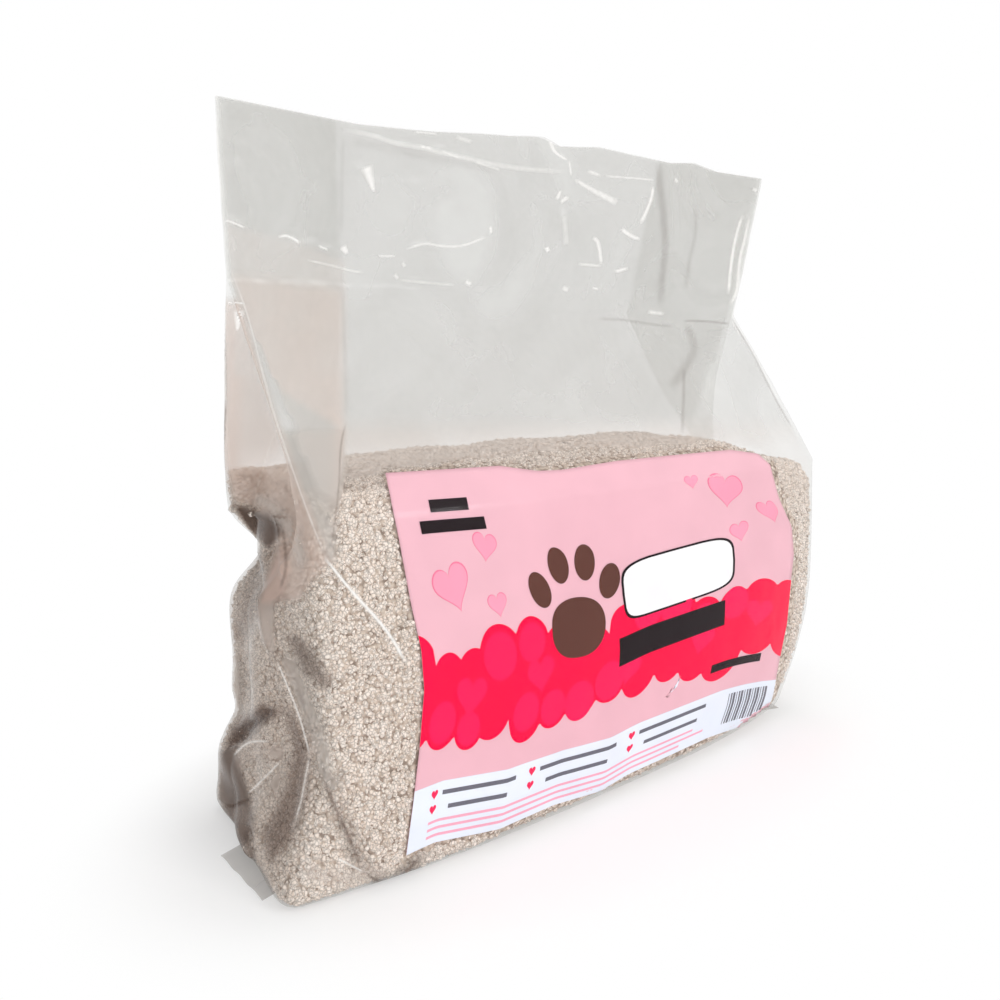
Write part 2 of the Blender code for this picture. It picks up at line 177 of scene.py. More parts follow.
class LitterSettings(bpy.types.PropertyGroup):
    """Sizes and colours of the litter."""

    grain: bpy.props.FloatProperty(
        name="Grain size", description="Mean width of a granule", default=0.0028, unit="LENGTH")
    spacing: bpy.props.FloatProperty(
        name="Grain spacing", description="Distance between neighbouring granules", default=0.0019,
        unit="LENGTH")
    light_colour: bpy.props.StringProperty(
        name="Light grain", description="Colour of the palest granules, as sRGB hex", default="FCF2EA")
    dark_colour: bpy.props.StringProperty(
        name="Dark grain", description="Colour of the darkest granules, as sRGB hex", default="CDBBAC")


class SheetSettings(bpy.types.PropertyGroup):
    """Sizes and colours of the printed sheet."""

    thickness: bpy.props.FloatProperty(
        name="Sheet thickness", description="Thickness of the printed paper", default=0.0002,
        unit="LENGTH")
    field_colour: bpy.props.StringProperty(
        name="Field", description="Pink of the print's field, as sRGB hex", default="E6B4C0")


class StageSettings(bpy.types.PropertyGroup):
    """Camera's focal length and angle."""

    focal_px: bpy.props.FloatProperty(
        name="Focal length in pixels", description="Focal length for an image 1000 pixels wide",
        default=919.8)
    azimuth: bpy.props.FloatProperty(
        name="Azimuth", description="Camera heading from +Y towards +X", default=math.radians(36.14),
        subtype="ANGLE")
    pitch: bpy.props.FloatProperty(
        name="Pitch", description="How far the camera looks down", default=math.radians(10.23),
        subtype="ANGLE")


CAMERA_PLACE = Vector((-0.3116, -0.3806, 0.235))
IMAGE_SIDE = 1000.0
IMAGE_MIDDLE = 500
# Distance from the camera at which a pixel that misses the film looks for its nearest point
FILM_DISTANCE = 0.45


WHITE = (1.0, 1.0, 1.0, 1.0)
# Colour of light that comes through flat film, and the painted shade of film that lies in a shadowed hollow
THROUGH_FILM = (0.985, 0.985, 0.98, 1.0)
THROUGH_SHADED_HOLLOW = (0.34, 0.28, 0.245, 1.0)
FLOOR_COLOUR = (0.93, 0.93, 0.93, 1.0)
# Colour of the commonest granules, and of the imported bed from the middle of its crumbs to their edges,
# where it darkens as painted shade of the gaps
MIDDLE_GRAIN = "EEDFD3"
BED_TONES_AND_GAP_SHADE = ((0.0, "E2D4C7"), (0.45, "C4B3A5"), (0.8, "8C7B6E"))
# Creases and folds drawn on the film: painted highlight, painted shade and pale doubled film
CREASE_GLINT_COLOUR = "FFFDFA"
SHADE_COLOUR = "6E5F57"
DOUBLED_COLOUR = "D3C9C1"


def linear(value):
    """One sRGB hex colour as linear red, green, blue and alpha."""
    parts = [int(value[k:k + 2], 16) / 255 for k in (0, 2, 4)]
    return (*(c / 12.92 if c <= 0.04045 else ((c + 0.055) / 1.055) ** 2.4 for c in parts), 1.0)


def between(low, high, share):
    """Value at a share of the way from low to high."""
    return low + (high - low) * share


def ease(share):
    """Smooth step from 0 to 1, for numbers and arrays."""
    share = np.clip(share, 0.0, 1.0)
    return share * share * (3.0 - 2.0 * share)


def gable_share(side, z):
    """0 up to the shoulder and 1 from the side's neck on."""
    neck = HEIGHT - side["header"]
    return min(max((z - SHOULDER) / (neck - SHOULDER), 0.0), 1.0)


def filled(z, sizes):
    """A size that swells from foot to belly and draws in to the shoulder."""
    if z < BELLY:
        return between(sizes["foot"], sizes["belly"], math.sin(0.5 * math.pi * z / BELLY))
    share = min((z - BELLY) / (SHOULDER - BELLY), 1.0)
    return between(sizes["belly"], sizes["shoulder"], 1.0 - math.cos(0.5 * math.pi * share))


def reach(side, z):
    """Distance of a side's edges from the middle."""
    share = gable_share(side, z)
    if share < 1.0:
        return between(filled(z, side), side["neck"], share)
    return between(side["neck"], side["top"], (z - HEIGHT + side["header"]) / side["header"])


def fold_share(side, z):
    """0 where a side panel begins to fold in, and 1 from the side's neck on."""
    return min(max((z - FOLD_START) / (HEIGHT - side["header"] - FOLD_START), 0.0), 1.0)


def depths(front_sizes, z, share):
    """Depths of the front and back edges from the header's plane."""
    front = between(filled(z, front_sizes), FLAT_DEPTH / 2, share)
    return front, between(filled(z, BACK), FLAT_DEPTH / 2, share)


def panel_depths(x, z):
    """Depths of the front and back panels between the bag's two sides, without their bulge."""
    left = depths(LEFT_FRONT, z, gable_share(LEFT, z))
    right = depths(RIGHT_FRONT, z, gable_share(RIGHT, z))
    share = (x + reach(LEFT, z)) / (reach(LEFT, z) + reach(RIGHT, z))
    return between(left[0], right[0], share), between(left[1], right[1], share)


def corner(before, here, after, cut):
    """Points of a curve that rounds one corner."""
    a = before - here
    b = after - here
    start = here + a * min(0.49, cut / max(np.linalg.norm(a), 1e-9))
    end = here + b * min(0.49, cut / max(np.linalg.norm(b), 1e-9))
    t = np.linspace(0, 1, CORNER_STEPS)[:, None]
    return (1 - t) ** 2 * start + 2 * t * (1 - t) * here + t ** 2 * end


def side_panel(side, front_sizes, sign, z, inset):
    """Key points of a side panel from its front edge to its back edge, and the cut of each."""
    share = gable_share(side, z)
    x = reach(side, z) - inset
    front, back = (d - inset for d in depths(front_sizes, z, share))
    opened = 1.0 - min(max((z - FOLD_START) / FLAP_CLOSE, 0.0), 1.0)
    step = between(LAYER_STEP, min(CORNER_DEPTH, 0.4 * (front + back)), opened ** 2)
    kink = KINK * opened
    inner = x - side["tuck"] * fold_share(side, z)
    front_there, back_there = (d - inset for d in panel_depths(sign * (inner + inset), z))
    points = [(x, -front), (x, -front + step), (inner, -front_there + step + kink)]
    points += [(inner, back_there - step - kink), (x, back - step), (x, back)]
    fold = between(FOLD_CUT, 6 * FOLD_CUT, opened)
    edge = between(CORNER_CUT, FOLD_CUT, min(gable_share(LEFT, z), gable_share(RIGHT, z)))
    swell = SIDE_BULGE * (1 - float(ease(3 * share)))
    return np.array([(sign * px, py) for px, py in points]), (edge, fold, fold, fold, fold, edge), swell


def run(start, end, steps):
    """Evenly spaced points strictly between two points."""
    t = (np.arange(1, steps) / steps)[:, None]
    return start + (end - start) * t


def side_chain(points, cuts, swell, sign, before, after):
    """All points of one side panel from front to back, rounded at its folds."""
    around = [before, *points, after]
    arcs = [corner(around[k], around[k + 1], around[k + 2], cuts[k]) for k in range(6)]
    wall = run(arcs[2][-1], arcs[3][0], WALL_STEPS)
    wall[:, 0] += sign * swell * np.sin(math.pi * np.arange(1, WALL_STEPS) / WALL_STEPS)
    middle = {1: FLAP_STEPS, 2: FLAP_STEPS, 4: FLAP_STEPS, 5: FLAP_STEPS}
    chain = [arcs[0]]
    for k in range(1, 6):
        chain.append(wall if k == 3 else run(arcs[k - 1][-1], arcs[k][0], middle[k]))
        chain.append(arcs[k])
    return np.concatenate(chain)


def panel(start, end, bulge, steps, cut_room):
    """Points between a panel's two edges, standing out in the middle, that leave room for its corners."""
    u = np.arange(1, steps) / steps
    line = start + (end - start) * u[:, None]
    line[:, 1] += bulge * (1 - np.abs(2 * u - 1) ** 3)
    low, high = sorted((start[0], end[0]))
    return respaced(line[(line[:, 0] > low + cut_room) & (line[:, 0] < high - cut_room)], steps)


def ring(z, inset):
    """The film's outline at one height, counter-clockwise: front, right side, back, left side."""
    share = 0.5 * (gable_share(LEFT, z) + gable_share(RIGHT, z))
    neck = NECK_BULGE * (1 - float(ease((share - 0.5) * 2)))
    front_out = between(FRONT_BULGE, neck, float(ease(share * 1.6)))
    back_out = between(BACK_BULGE, neck, float(ease(share * 1.6)))
    left, left_cuts, left_swell = side_panel(LEFT, LEFT_FRONT, -1, z, inset)
    right, right_cuts, right_swell = side_panel(RIGHT, RIGHT_FRONT, 1, z, inset)
    cut_room = max(left_cuts[0], right_cuts[0]) * 1.05
    front = panel(left[0], right[0], -front_out, FRONT_STEPS, cut_room)
    back = panel(right[5], left[5], back_out, BACK_STEPS, cut_room)
    right_chain = side_chain(right, right_cuts, right_swell, 1, front[-1], back[0])
    left_chain = side_chain(left, left_cuts, left_swell, -1, front[0], back[-1])
    return np.concatenate([front, right_chain, back, left_chain[::-1]])


def lengths_along(line):
    """Distance of each point of a line from its start."""
    return np.concatenate([[0], np.cumsum(np.linalg.norm(np.diff(line, axis=0), axis=1))])


def at_lengths(line, wanted):
    """Points of a line at the wanted distances from its start."""
    along = lengths_along(line)
    return np.column_stack([np.interp(wanted, along, values) for values in line.T])


def respaced(line, count):
    """The same line drawn with a given number of points."""
    return at_lengths(line, np.linspace(0, lengths_along(line)[-1], count))


SIDE_POINTS = 6 * CORNER_STEPS + 4 * (FLAP_STEPS - 1) + WALL_STEPS - 1
RING_POINTS = FRONT_STEPS + BACK_STEPS + 2 * SIDE_POINTS
FRONT_SLICE = slice(0, FRONT_STEPS)
RIGHT_SLICE = slice(FRONT_STEPS, FRONT_STEPS + SIDE_POINTS)
LEFT_SLICE = slice(FRONT_STEPS + SIDE_POINTS + BACK_STEPS, RING_POINTS)


def plain_surface():
    """Grid of the bag's plain surface: rows from the bottom seal out over the base and up to the top."""
    foot = ring(0.0, BASE_RADIUS)
    grid = []
    for k in range(BASE_ROWS):
        share = k / BASE_ROWS
        squeezed = foot * (between(0.93, 1.0, share), share)
        grid.append(np.column_stack([squeezed, np.full(len(foot), 0.0002)]))
    for k in range(ROUND_ROWS):
        angle = 0.5 * math.pi * k / ROUND_ROWS
        outline = ring(BASE_RADIUS * (1 - math.cos(angle)), BASE_RADIUS * (1 - math.sin(angle)))
        height = BASE_RADIUS * (1 - math.cos(angle)) + 0.0002
        grid.append(np.column_stack([outline, np.full(len(outline), height)]))
    for z in np.linspace(BASE_RADIUS, HEIGHT, BODY_ROWS):
        outline = ring(float(z), 0.0)
        grid.append(np.column_stack([outline, np.full(len(outline), z)]))
    return np.array(grid)


def grid_normals(grid):
    """Outward directions of a grid that closes on itself sideways."""
    along = np.roll(grid, -1, axis=1) - np.roll(grid, 1, axis=1)
    upright = np.gradient(grid, axis=0)
    out = np.cross(along, upright)
    size = np.linalg.norm(out, axis=2, keepdims=True)
    return out / np.maximum(size, 1e-12)


def camera_axes():
    """Right, forward and up directions of the camera."""
    stage = bpy.context.scene.litter_stage
    look = Vector((math.sin(stage.azimuth), math.cos(stage.azimuth), 0.0))
    right = Vector((look.y, -look.x, 0.0))
    forward = look * math.cos(stage.pitch) - Vector((0, 0, math.sin(stage.pitch)))
    return right, forward, right.cross(forward)


def to_pixels(points):
    """Pixel of the photograph at which each point of the finished bag shows."""
    right, forward, up = (np.array(v) for v in camera_axes())
    away = points - np.array(CAMERA_PLACE)
    depth = away @ forward
    focal = bpy.context.scene.litter_stage.focal_px
    flat = np.stack([focal * (away @ right) / depth, -focal * (away @ up) / depth], -1)
    return IMAGE_MIDDLE + flat


def line_distance(px, line):
    """Distance of each pixel from a line of pixels, and how far along the line it is, from 0 to 1."""
    best = np.full(px.shape[:-1], 1e9)
    place = np.zeros(px.shape[:-1])
    corners = np.array(line, float)
    lengths = np.linalg.norm(np.diff(corners, axis=0), axis=1)
    total = lengths.sum()
    start = 0.0
    for a, b, length in zip(corners, corners[1:], lengths):
        t = np.clip(((px - a) @ (b - a)) / length ** 2, 0, 1)
        gap = np.linalg.norm(px - a - t[..., None] * (b - a), axis=-1)
        closer = gap < best
        best = np.where(closer, gap, best)
        place = np.where(closer, (start + t * length) / total, place)
        start += length
    return best, place


FRONT_ONLY = (FRONT_SLICE,)
LEFT_ONLY = (LEFT_SLICE,)
FRONT_AND_LEFT = (FRONT_SLICE, LEFT_SLICE)

# Creases of the front film, traced in pixels of the photograph: line, height in mm and width in pixels
FRONT_CREASES = (
    (((326, 558), (355, 592), (380, 630), (397, 657)), 1.6, 5),
    (((309, 752), (330, 800), (352, 870)), 1.0, 5),
    (((290, 640), (308, 658), (325, 675)), -1.0, 6),
    (((380, 310), (420, 352), (460, 385), (500, 402)), 0.9, 9),
    (((300, 243), (330, 251), (380, 278)), 1.2, 5),
    (((405, 248), (465, 246), (490, 231)), 1.0, 5),
    (((400, 281), (450, 283)), 0.8, 5),
    (((600, 322), (665, 320), (731, 318)), 1.3, 6),
    (((549, 138), (556, 165), (568, 200), (565, 245)), 1.6, 8),
    (((590, 238), (602, 265)), 1.2, 6),
    (((343, 130), (395, 146), (430, 147), (460, 157), (510, 168)), 0.7, 4),
    (((570, 180), (610, 172), (655, 174)), 0.7, 4),
    (((355, 165), (376, 190)), 1.2, 9),
    (((620, 229), (640, 240)), 1.2, 7),
    (((685, 325), (690, 345), (682, 420)), -1.6, 8),
    (((745, 210), (731, 300)), 0.8, 5),
)
# Creases of the left side, traced in the same way
LEFT_CREASES = (
    (((281, 520), (286, 570), (270, 590), (262, 600), (267, 635), (276, 660), (293, 705), (309, 752)),
     2.4, 8),
    (((309, 752), (303, 800), (300, 820)), 2.0, 7),
    (((267, 712), (250, 728), (232, 742)), -2.6, 7),
    (((245, 830), (250, 865), (270, 905)), -3.0, 8),
    (((234, 508), (258, 514), (281, 520)), 3.0, 7),
)
# Strips drawn on the film for its finer creases and folds: length of a step in pixels, places across
# the strip, height above the film, and the size in metres from which a face counts as torn
STROKE_STEP = 3.0
STROKE_COLUMNS = (-1.0, -0.66, -0.33, 0.0, 0.33, 0.66, 1.0)
STROKE_LIFT = 0.00025
STROKE_TEAR = 0.007

# Painted highlights: glowing strips on creases that throw light back, traced in pixels of the photograph:
# strength, half width at the start and at the end, and the line
PAINTED_GLINT_STROKES = (
    (0.6, 1.3, 1.3, ((216, 118), (219, 162), (221, 204))),
    (0.8, 1.6, 1.6, ((224, 222), (227, 220), (245, 228))),
    (1.0, 1.6, 2.2, ((278, 237), (287, 235), (300, 243))),
    (0.9, 1.4, 1.4, ((318, 246), (328, 250))),
    (1.0, 4.5, 2.5, ((342, 246), (347, 254))),
    (0.5, 1.5, 1.8, ((307, 260), (334, 266), (351, 271), (363, 272))),
    (1.0, 7.5, 1.5, ((366, 166), (369, 176), (374, 192))),
    (0.9, 1.8, 1.8, ((419, 146), (433, 149))),
    (0.5, 1.5, 1.5, ((441, 151), (460, 158))),
    (0.6, 1.6, 1.6, ((475, 162), (500, 170))),
    (0.5, 2.5, 2.5, ((456, 137), (472, 142))),
    (0.7, 1.3, 1.3, ((414, 132), (437, 134))),
    (0.45, 3.0, 3.0, ((343, 130), (372, 135), (395, 144), (420, 147), (460, 157), (510, 168), (566, 172))),
    (0.8, 1.3, 1.3, ((378, 256), (395, 256))),
    (0.75, 1.6, 1.8, ((406, 249), (424, 243), (445, 247), (464, 246), (487, 236))),
    (1.0, 2.4, 1.6, ((490, 226), (491, 234))),
    (0.5, 2.2, 2.2, ((402, 262), (405, 267))),
    (0.7, 2.6, 2.2, ((394, 274), (398, 279))),
    (0.8, 3.0, 2.6, ((465, 281), (471, 285))),
    (0.4, 1.6, 1.6, ((399, 280), (430, 283), (454, 285))),
    (0.8, 1.3, 1.3, ((225, 302), (245, 304))),
    (0.95, 7.0, 1.5, ((239, 310), (237, 331))),
    (0.35, 1.3, 1.3, ((231, 271), (248, 315), (264, 380), (275, 418), (296, 479), (312, 523), (328, 563))),
    (1.0, 2.0, 2.6, ((324, 557), (331, 566), (348, 587), (376, 618), (392, 638), (406, 664))),
    (1.0, 2.6, 1.6, ((549, 139), (554, 153), (567, 160))),
    (0.8, 1.4, 1.4, ((569, 161), (571, 176))),
    (0.9, 2.4, 1.8, ((556, 200), (561, 190))),
    (0.9, 2.2, 2.6, ((560, 203), (568, 196))),
    (0.8, 2.0, 2.0, ((587, 171), (601, 176))),
    (0.7, 1.3, 1.3, ((605, 176), (632, 178), (654, 180))),
    (0.8, 2.0, 4.5, ((574, 179), (590, 189), (617, 203))),
    (1.0, 1.8, 2.4, ((653, 186), (651, 201), (640, 224))),
    (1.0, 2.6, 2.0, ((621, 229), (632, 237), (640, 239))),
    (0.9, 2.6, 1.8, ((592, 238), (598, 240), (601, 264))),
    (0.7, 1.6, 1.6, ((578, 264), (601, 266))),
    (0.9, 2.0, 2.0, ((614, 272), (628, 268))),
    (1.0, 3.0, 2.4, ((546, 247), (548, 252))),
    (0.7, 3.2, 2.6, ((562, 287), (568, 291))),
    (0.8, 1.6, 1.6, ((592, 288), (598, 289))),
    (0.35, 3.0, 3.0, ((564, 216), (566, 245))),
    (0.9, 2.0, 2.4, ((743, 214), (737, 230), (731, 260), (728, 295))),
    (0.8, 2.0, 2.6, ((749, 216), (745, 237), (739, 260), (737, 293), (729, 306))),
    (0.8, 1.8, 1.8, ((675, 178), (677, 183))),
    (0.7, 2.2, 2.2, ((752, 189), (757, 191))),
    (0.7, 2.4, 2.4, ((647, 312), (664, 314))),
    (0.5, 1.3, 1.3, ((731, 320), (740, 336))),
    (0.5, 1.4, 1.4, ((277, 660), (289, 689), (299, 713), (308, 746), (310, 756))),
    (0.35, 1.3, 1.3, ((310, 756), (305, 781), (302, 800), (296, 820))),
    (0.6, 1.8, 1.3, ((337, 858), (358, 869), (363, 871))),
    (0.4, 1.5, 1.5, ((234, 756), (248, 741), (270, 741))),
    (0.4, 1.3, 1.3, ((248, 794), (264, 779), (280, 762))),
    (0.5, 1.2, 1.2, ((226, 410), (225, 350), (225, 305))),
)
# Folds that lie in shadow
DARK_STROKES = (
    (0.20, 5.0, 5.0, ((658, 161), (659, 180), (663, 214), (666, 245), (662, 274), (660, 310))),
    (0.12, 3.0, 3.0, ((695, 206), (696, 233), (689, 260), (685, 289))),
    (0.25, 1.6, 1.6, ((683, 321), (704, 321), (730, 324))),
    (0.16, 4.0, 7.0, ((684, 323), (697, 346), (686, 367), (670, 388))),
    (0.20, 2.6, 2.6, ((684, 369), (683, 407), (682, 435))),
    (0.16, 2.0, 2.0, ((597, 319), (624, 320), (647, 324), (675, 327))),
    (0.25, 1.4, 1.4, ((731, 320), (750, 348), (775, 400), (793, 430))),
    (0.07, 7.0, 5.0, ((345, 140), (420, 155), (500, 172))),
    (0.08, 3.0, 3.0, ((343, 135), (342, 175), (341, 235))),
    (0.08, 3.0, 3.0, ((341, 255), (344, 330), (347, 420))),
    (0.25, 1.6, 1.6, ((347, 420), (340, 444), (339, 492), (331, 548))),
    (0.35, 2.5, 2.5, ((282, 522), (285, 545), (287, 570), (280, 590))),
    (0.6, 2.6, 2.6, ((225, 806), (234, 806), (249, 799))),
    (0.5, 3.5, 3.5, ((243, 829), (253, 859), (261, 887), (269, 910))),
    (0.45, 3.0, 3.0, ((324, 781), (337, 812), (348, 836), (361, 866))),
    (0.50, 2.2, 2.2, ((420, 856), (404, 875), (390, 883), (375, 880), (363, 871))),
    (0.35, 1.3, 1.3, ((223, 300), (226, 360), (226, 410), (224, 455))),
)
# Folds that are doubled and milky
PALE_STROKES = (
    (0.55, 6.0, 7.0, ((234, 650), (238, 680), (235, 725))),
    (0.60, 10.0, 10.0, ((250, 497), (275, 507), (297, 540), (304, 570))),
    (0.35, 14.0, 10.0, ((300, 870), (340, 880), (390, 870))),
    (0.40, 4.0, 4.0, ((310, 756), (303, 800), (292, 835))),
)
# Parts of the film that look milkier, warmer or darker, such as hollows that lie in shadow: which sides,
# the outline, how soft its edge is in pixels, and by how much milkier, warmer and darker
# The darker share is painted shade of hollows, and the warmer share a painted warm tint
FILM_REGIONS = (
    (FRONT_ONLY, ((231, 275), (343, 290), (343, 440), (339, 490), (330, 566), (296, 479), (264, 380)),
     14, 1.0, 0.1, 0.0),
    (FRONT_AND_LEFT, ((283, 432), (344, 432), (341, 490), (331, 566), (312, 523), (296, 479)),
     10, 1.3, 0.1, 0.0),
    (FRONT_ONLY, ((224, 222), (245, 229), (300, 243), (346, 262), (345, 430), (262, 380), (231, 280)),
     10, 0.0, 0.3, 0.0),
    (LEFT_ONLY, ((224, 300), (240, 300), (264, 380), (296, 479), (328, 563), (300, 600), (262, 600),
                 (281, 520), (232, 500), (222, 460)), 14, 1.0, 0.75, 0.0),
    (FRONT_ONLY, ((340, 425), (840, 425), (840, 495), (340, 530)), 30, 0.25, 0.35, 0.0),
    (LEFT_ONLY, ((232, 504), (258, 511), (284, 520), (280, 535), (268, 548), (250, 530)), 5, 0.8, 0.3, 1.0),
    (LEFT_ONLY, ((258, 546), (284, 545), (283, 600), (262, 605), (245, 640), (234, 640), (240, 600)),
     16, 0.0, 0.3, 0.35),
    (LEFT_ONLY, ((226, 752), (232, 728), (262, 705), (280, 712), (262, 724), (245, 740)), 11, 0.2, 0.5, 0.8),
    (LEFT_ONLY, ((220, 752), (232, 750), (249, 796), (232, 808), (220, 800)), 8, 0.9, 0.0, 0.75),
    (FRONT_AND_LEFT, ((283, 705), (300, 728), (311, 756), (305, 800), (292, 838), (272, 862), (262, 835),
                      (285, 790), (294, 750)), 13, 0.1, 0.5, 0.5),
    (LEFT_ONLY, ((222, 806), (250, 798), (253, 830), (240, 852), (222, 835)), 8, 0.6, 0.2, 0.6),
    (FRONT_AND_LEFT, ((286, 636), (300, 638), (333, 680), (326, 692), (304, 674)), 8, 0.5, 0.0, 0.5),
    (FRONT_AND_LEFT, ((200, 560), (290, 600), (310, 740), (300, 850), (262, 930), (200, 930)),
     60, 0.1, 0.3, 0.14),
    (FRONT_AND_LEFT, ((226, 838), (246, 850), (272, 914), (250, 914), (220, 880)), 9, 0.6, 0.1, 0.5),
    (FRONT_AND_LEFT, ((281, 548), (290, 570), (282, 592), (273, 604), (274, 655), (262, 640), (256, 612),
                      (262, 592)), 7, 1.4, 0.1, 0.0),
    (FRONT_AND_LEFT, ((278, 655), (296, 660), (330, 740), (337, 795), (318, 775), (300, 715)),
     12, 0.8, 0.0, 0.0),
    (LEFT_ONLY, ((234, 757), (248, 739), (286, 744), (284, 762), (262, 760), (240, 770)), 8, 0.4, 0.1, 0.0),
    (LEFT_ONLY, ((252, 797), (283, 762), (285, 796), (275, 801)), 8, 0.35, 0.0, 0.0),
    (FRONT_AND_LEFT, ((318, 770), (334, 775), (372, 868), (352, 872)), 12, 0.4, 0.0, 0.22),
    (FRONT_AND_LEFT, ((364, 866), (388, 878), (412, 858), (432, 850), (404, 888), (376, 892)),
     8, 0.6, 0.0, 0.3),
)
# Rise of the top edge above a straight one: place along the width and rise, in mm
TOP_EDGE = ((-176, 0), (-110, -3), (-70, -1.5), (-25, 1.5), (-8, 4), (2, 5), (14, 2), (40, 4), (62, 2),
            (95, 1), (115, 3), (135, 0), (179, 0))


def ridge(distance, width):
    """Height of a sharp crease across its width, 1 on its line."""
    return np.clip(1 - distance / width, 0, 1) ** 1.5


def soft_noise(points, scale, seed):
    """Smooth noise from -1 to 1 at each point."""
    flat = points.reshape(-1, 3) / scale + seed
    found = np.fromiter((noise.noise(Vector(p)) for p in flat.tolist()), float, len(flat))
    return found.reshape(points.shape[:-1])


def film_surface():
    """The finished film grid in the CAD frame, with its creases and dents, and its normals."""
    grid = plain_surface()
    grid = shape_header(grid)
    grid = shape_left(grid)
    placed = grid + np.array(HEADER_ORIGIN)
    normals = grid_normals(placed)
    px = to_pixels(placed)
    lift = np.zeros(placed.shape[:2])
    height = grid[:, :, 2]
    for part, creases, fading in ((FRONT_SLICE, FRONT_CREASES, 0.25), (LEFT_SLICE, LEFT_CREASES, 1.0)):
        for line, high, width in creases:
            gap, along = line_distance(px[:, part], line)
            fade = ease(np.minimum(along, 1 - along) * 6 + fading)
            lift[:, part] += MILLIMETRE * high * ridge(gap, width) * fade
    lift += wrinkles(grid, height) * (1 - header_share(height))
    lift[:BASE_ROWS] = 0.0
    placed = placed + normals * lift[:, :, None]
    placed[:, :, 1] += header_share(height) * header_crumple(grid)
    placed[:, :, 2] = np.maximum(placed[:, :, 2], 0.0002)
    return placed, grid_normals(placed)


def header_share(height):
    """1 in the flat header, where all layers lie together, and 0 below it."""
    return ease((height - HEADER_FOOT) / HEADER_BLEND)


def wrinkles(grid, height):
    """Soft irregular wrinkles, stronger in the empty top of the bag."""
    settings = bpy.context.scene.litter_bag
    empty = ease((height - SHOULDER + 0.01) / 0.04)
    stretched = grid * (1.0, 1.0, 0.6)
    broad = soft_noise(stretched, 0.045, 3.1)
    fine = 1 - 2 * np.abs(soft_noise(stretched, 0.016, 7.7))
    return settings.wrinkle * between(0.35, 1.0, empty) * (0.8 * broad + 0.35 * fine)


def header_crumple(grid):
    """Crumples of the flat header, the same for all of its layers."""
    flat = grid * (1.0, 0.0, 1.0)
    top = ease((grid[:, :, 2] - HEIGHT + 0.018) / 0.01)
    broad = soft_noise(flat * (1.0, 1.0, 0.7), 0.040, 11.3)
    sharp = 1 - 2 * np.abs(soft_noise(flat, 0.022, 2.9))
    fine = 1 - 2 * np.abs(soft_noise(flat, 0.009, 5.3))
    return (1 - 0.75 * top) * (0.0016 * broad + 0.0007 * sharp + 0.00025 * fine)


def shape_header(grid):
    """Curls the flat header sideways and gives the top edge its rise and fall."""
    out = grid.copy()
    x = grid[:, :, 0]
    z = grid[:, :, 2]
    places, rises = np.array(TOP_EDGE, float).T * MILLIMETRE
    growth = ease((z - 0.25) / (HEIGHT - 0.25))
    out[:, :, 2] += growth * np.interp(x, places, rises)
    place = np.clip(x / HEADER_SPAN, -1.0, 1.0)
    curl = growth * (1.0 - place ** 2) ** 2
    out[:, :, 1] += HEADER_CURL * curl * np.sin(5.0 * place + 0.6)
    return out


def shape_left(grid):
    """Spreads the front left corner of the base, and dents the left side."""
    out = grid.copy()
    x, y, z = (grid[:, :, k] for k in range(3))
    spread = ease((-x - 0.12) / 0.06) * ease(-y / 0.06) * (1 - ease(z / 0.06))
    out[:, :, 0] -= SPLAY * spread
    near = np.clip((-x - 0.10) / 0.06, 0.0, 1.0)
    for at_y, at_z, reach_y, reach_z, move in LEFT_DENTS:
        out[:, :, 0] -= move * near * np.exp(-(((y - at_y) / reach_y) ** 2) - ((z - at_z) / reach_z) ** 2)
    return out


def grid_mesh(name, grid, closed=True, values=None):
    """Mesh object of a grid of points, with a UV map along and up the grid, and values at each point."""
    rows, columns = grid.shape[:2]
    across = columns if closed else columns - 1
    bm = bmesh.new()
    uv = bm.loops.layers.uv.new("surface")
    layers = [bm.verts.layers.float.new(key) for key in (values or {})]
    bmesh.ops.create_grid(bm, x_segments=across, y_segments=rows - 1, size=1.0)
    bm.verts.ensure_lookup_table()
    order = sorted(bm.verts, key=lambda v: (round(v.co.y, 5), round(v.co.x, 5)))
    for k, vert in enumerate(order):
        row, column = divmod(k, across + 1)
        vert.co = Vector(grid[row, column % columns])
        vert.index = k
        for layer, held in zip(layers, (values or {}).values()):
            vert[layer] = held[row, column % columns]
    for face in bm.faces:
        for loop in face.loops:
            row, column = divmod(loop.vert.index, across + 1)
            loop[uv].uv = (column / across, row / (rows - 1))
    bmesh.ops.remove_doubles(bm, verts=bm.verts, dist=1e-6)
    bmesh.ops.dissolve_degenerate(bm, edges=bm.edges, dist=1e-7)
    mesh = bpy.data.meshes.new(name)
    bm.to_mesh(mesh)
    bm.free()
    mesh.shade_smooth()
    return link(name, mesh)


def link(name, mesh):
    """New object for a mesh, in the scene's collection."""
    made = bpy.data.objects.new(name, mesh)
    bpy.context.scene.collection.objects.link(made)
    return made


def add_node(tree, kind, settings=None, inputs=None):
    """A node with its settings, and each input either linked from a socket or set to a value."""
    node = tree.nodes.new(kind)
    for key, value in (settings or {}).items():
        setattr(node, key, value)
    for key, value in (inputs or {}).items():
        if isinstance(value, bpy.types.NodeSocket):
            tree.links.new(value, node.inputs[key])
        else:
            node.inputs[key].default_value = value
    return node


def new_material(name):
    """Empty node material, and its tree."""
    material = bpy.data.materials.new(name)
    material.use_nodes = True
    material.node_tree.nodes.clear()
    return material, material.node_tree


def set_ramp(node, stops):
    """Colours of a ramp as place and linear colour."""
    elements = node.color_ramp.elements
    while len(elements) < len(stops):
        elements.new(0.5)
    for element, (place, colour) in zip(elements, stops):
        element.position = place
        element.color = colour


def attribute(tree, name):
    """Socket with a value that the mesh holds at each of its points."""
    return add_node(tree, "ShaderNodeAttribute", {"attribute_name": name}).outputs["Fac"]


def texture(tree, kind, scale, settings=None, **inputs):
    """Texture node in object coordinates, with a scale in waves or cells to a metre."""
    place = add_node(tree, "ShaderNodeTexCoord").outputs["Object"]
    return add_node(tree, "ShaderNodeTex" + kind, settings, {"Vector": place, "Scale": scale, **inputs})


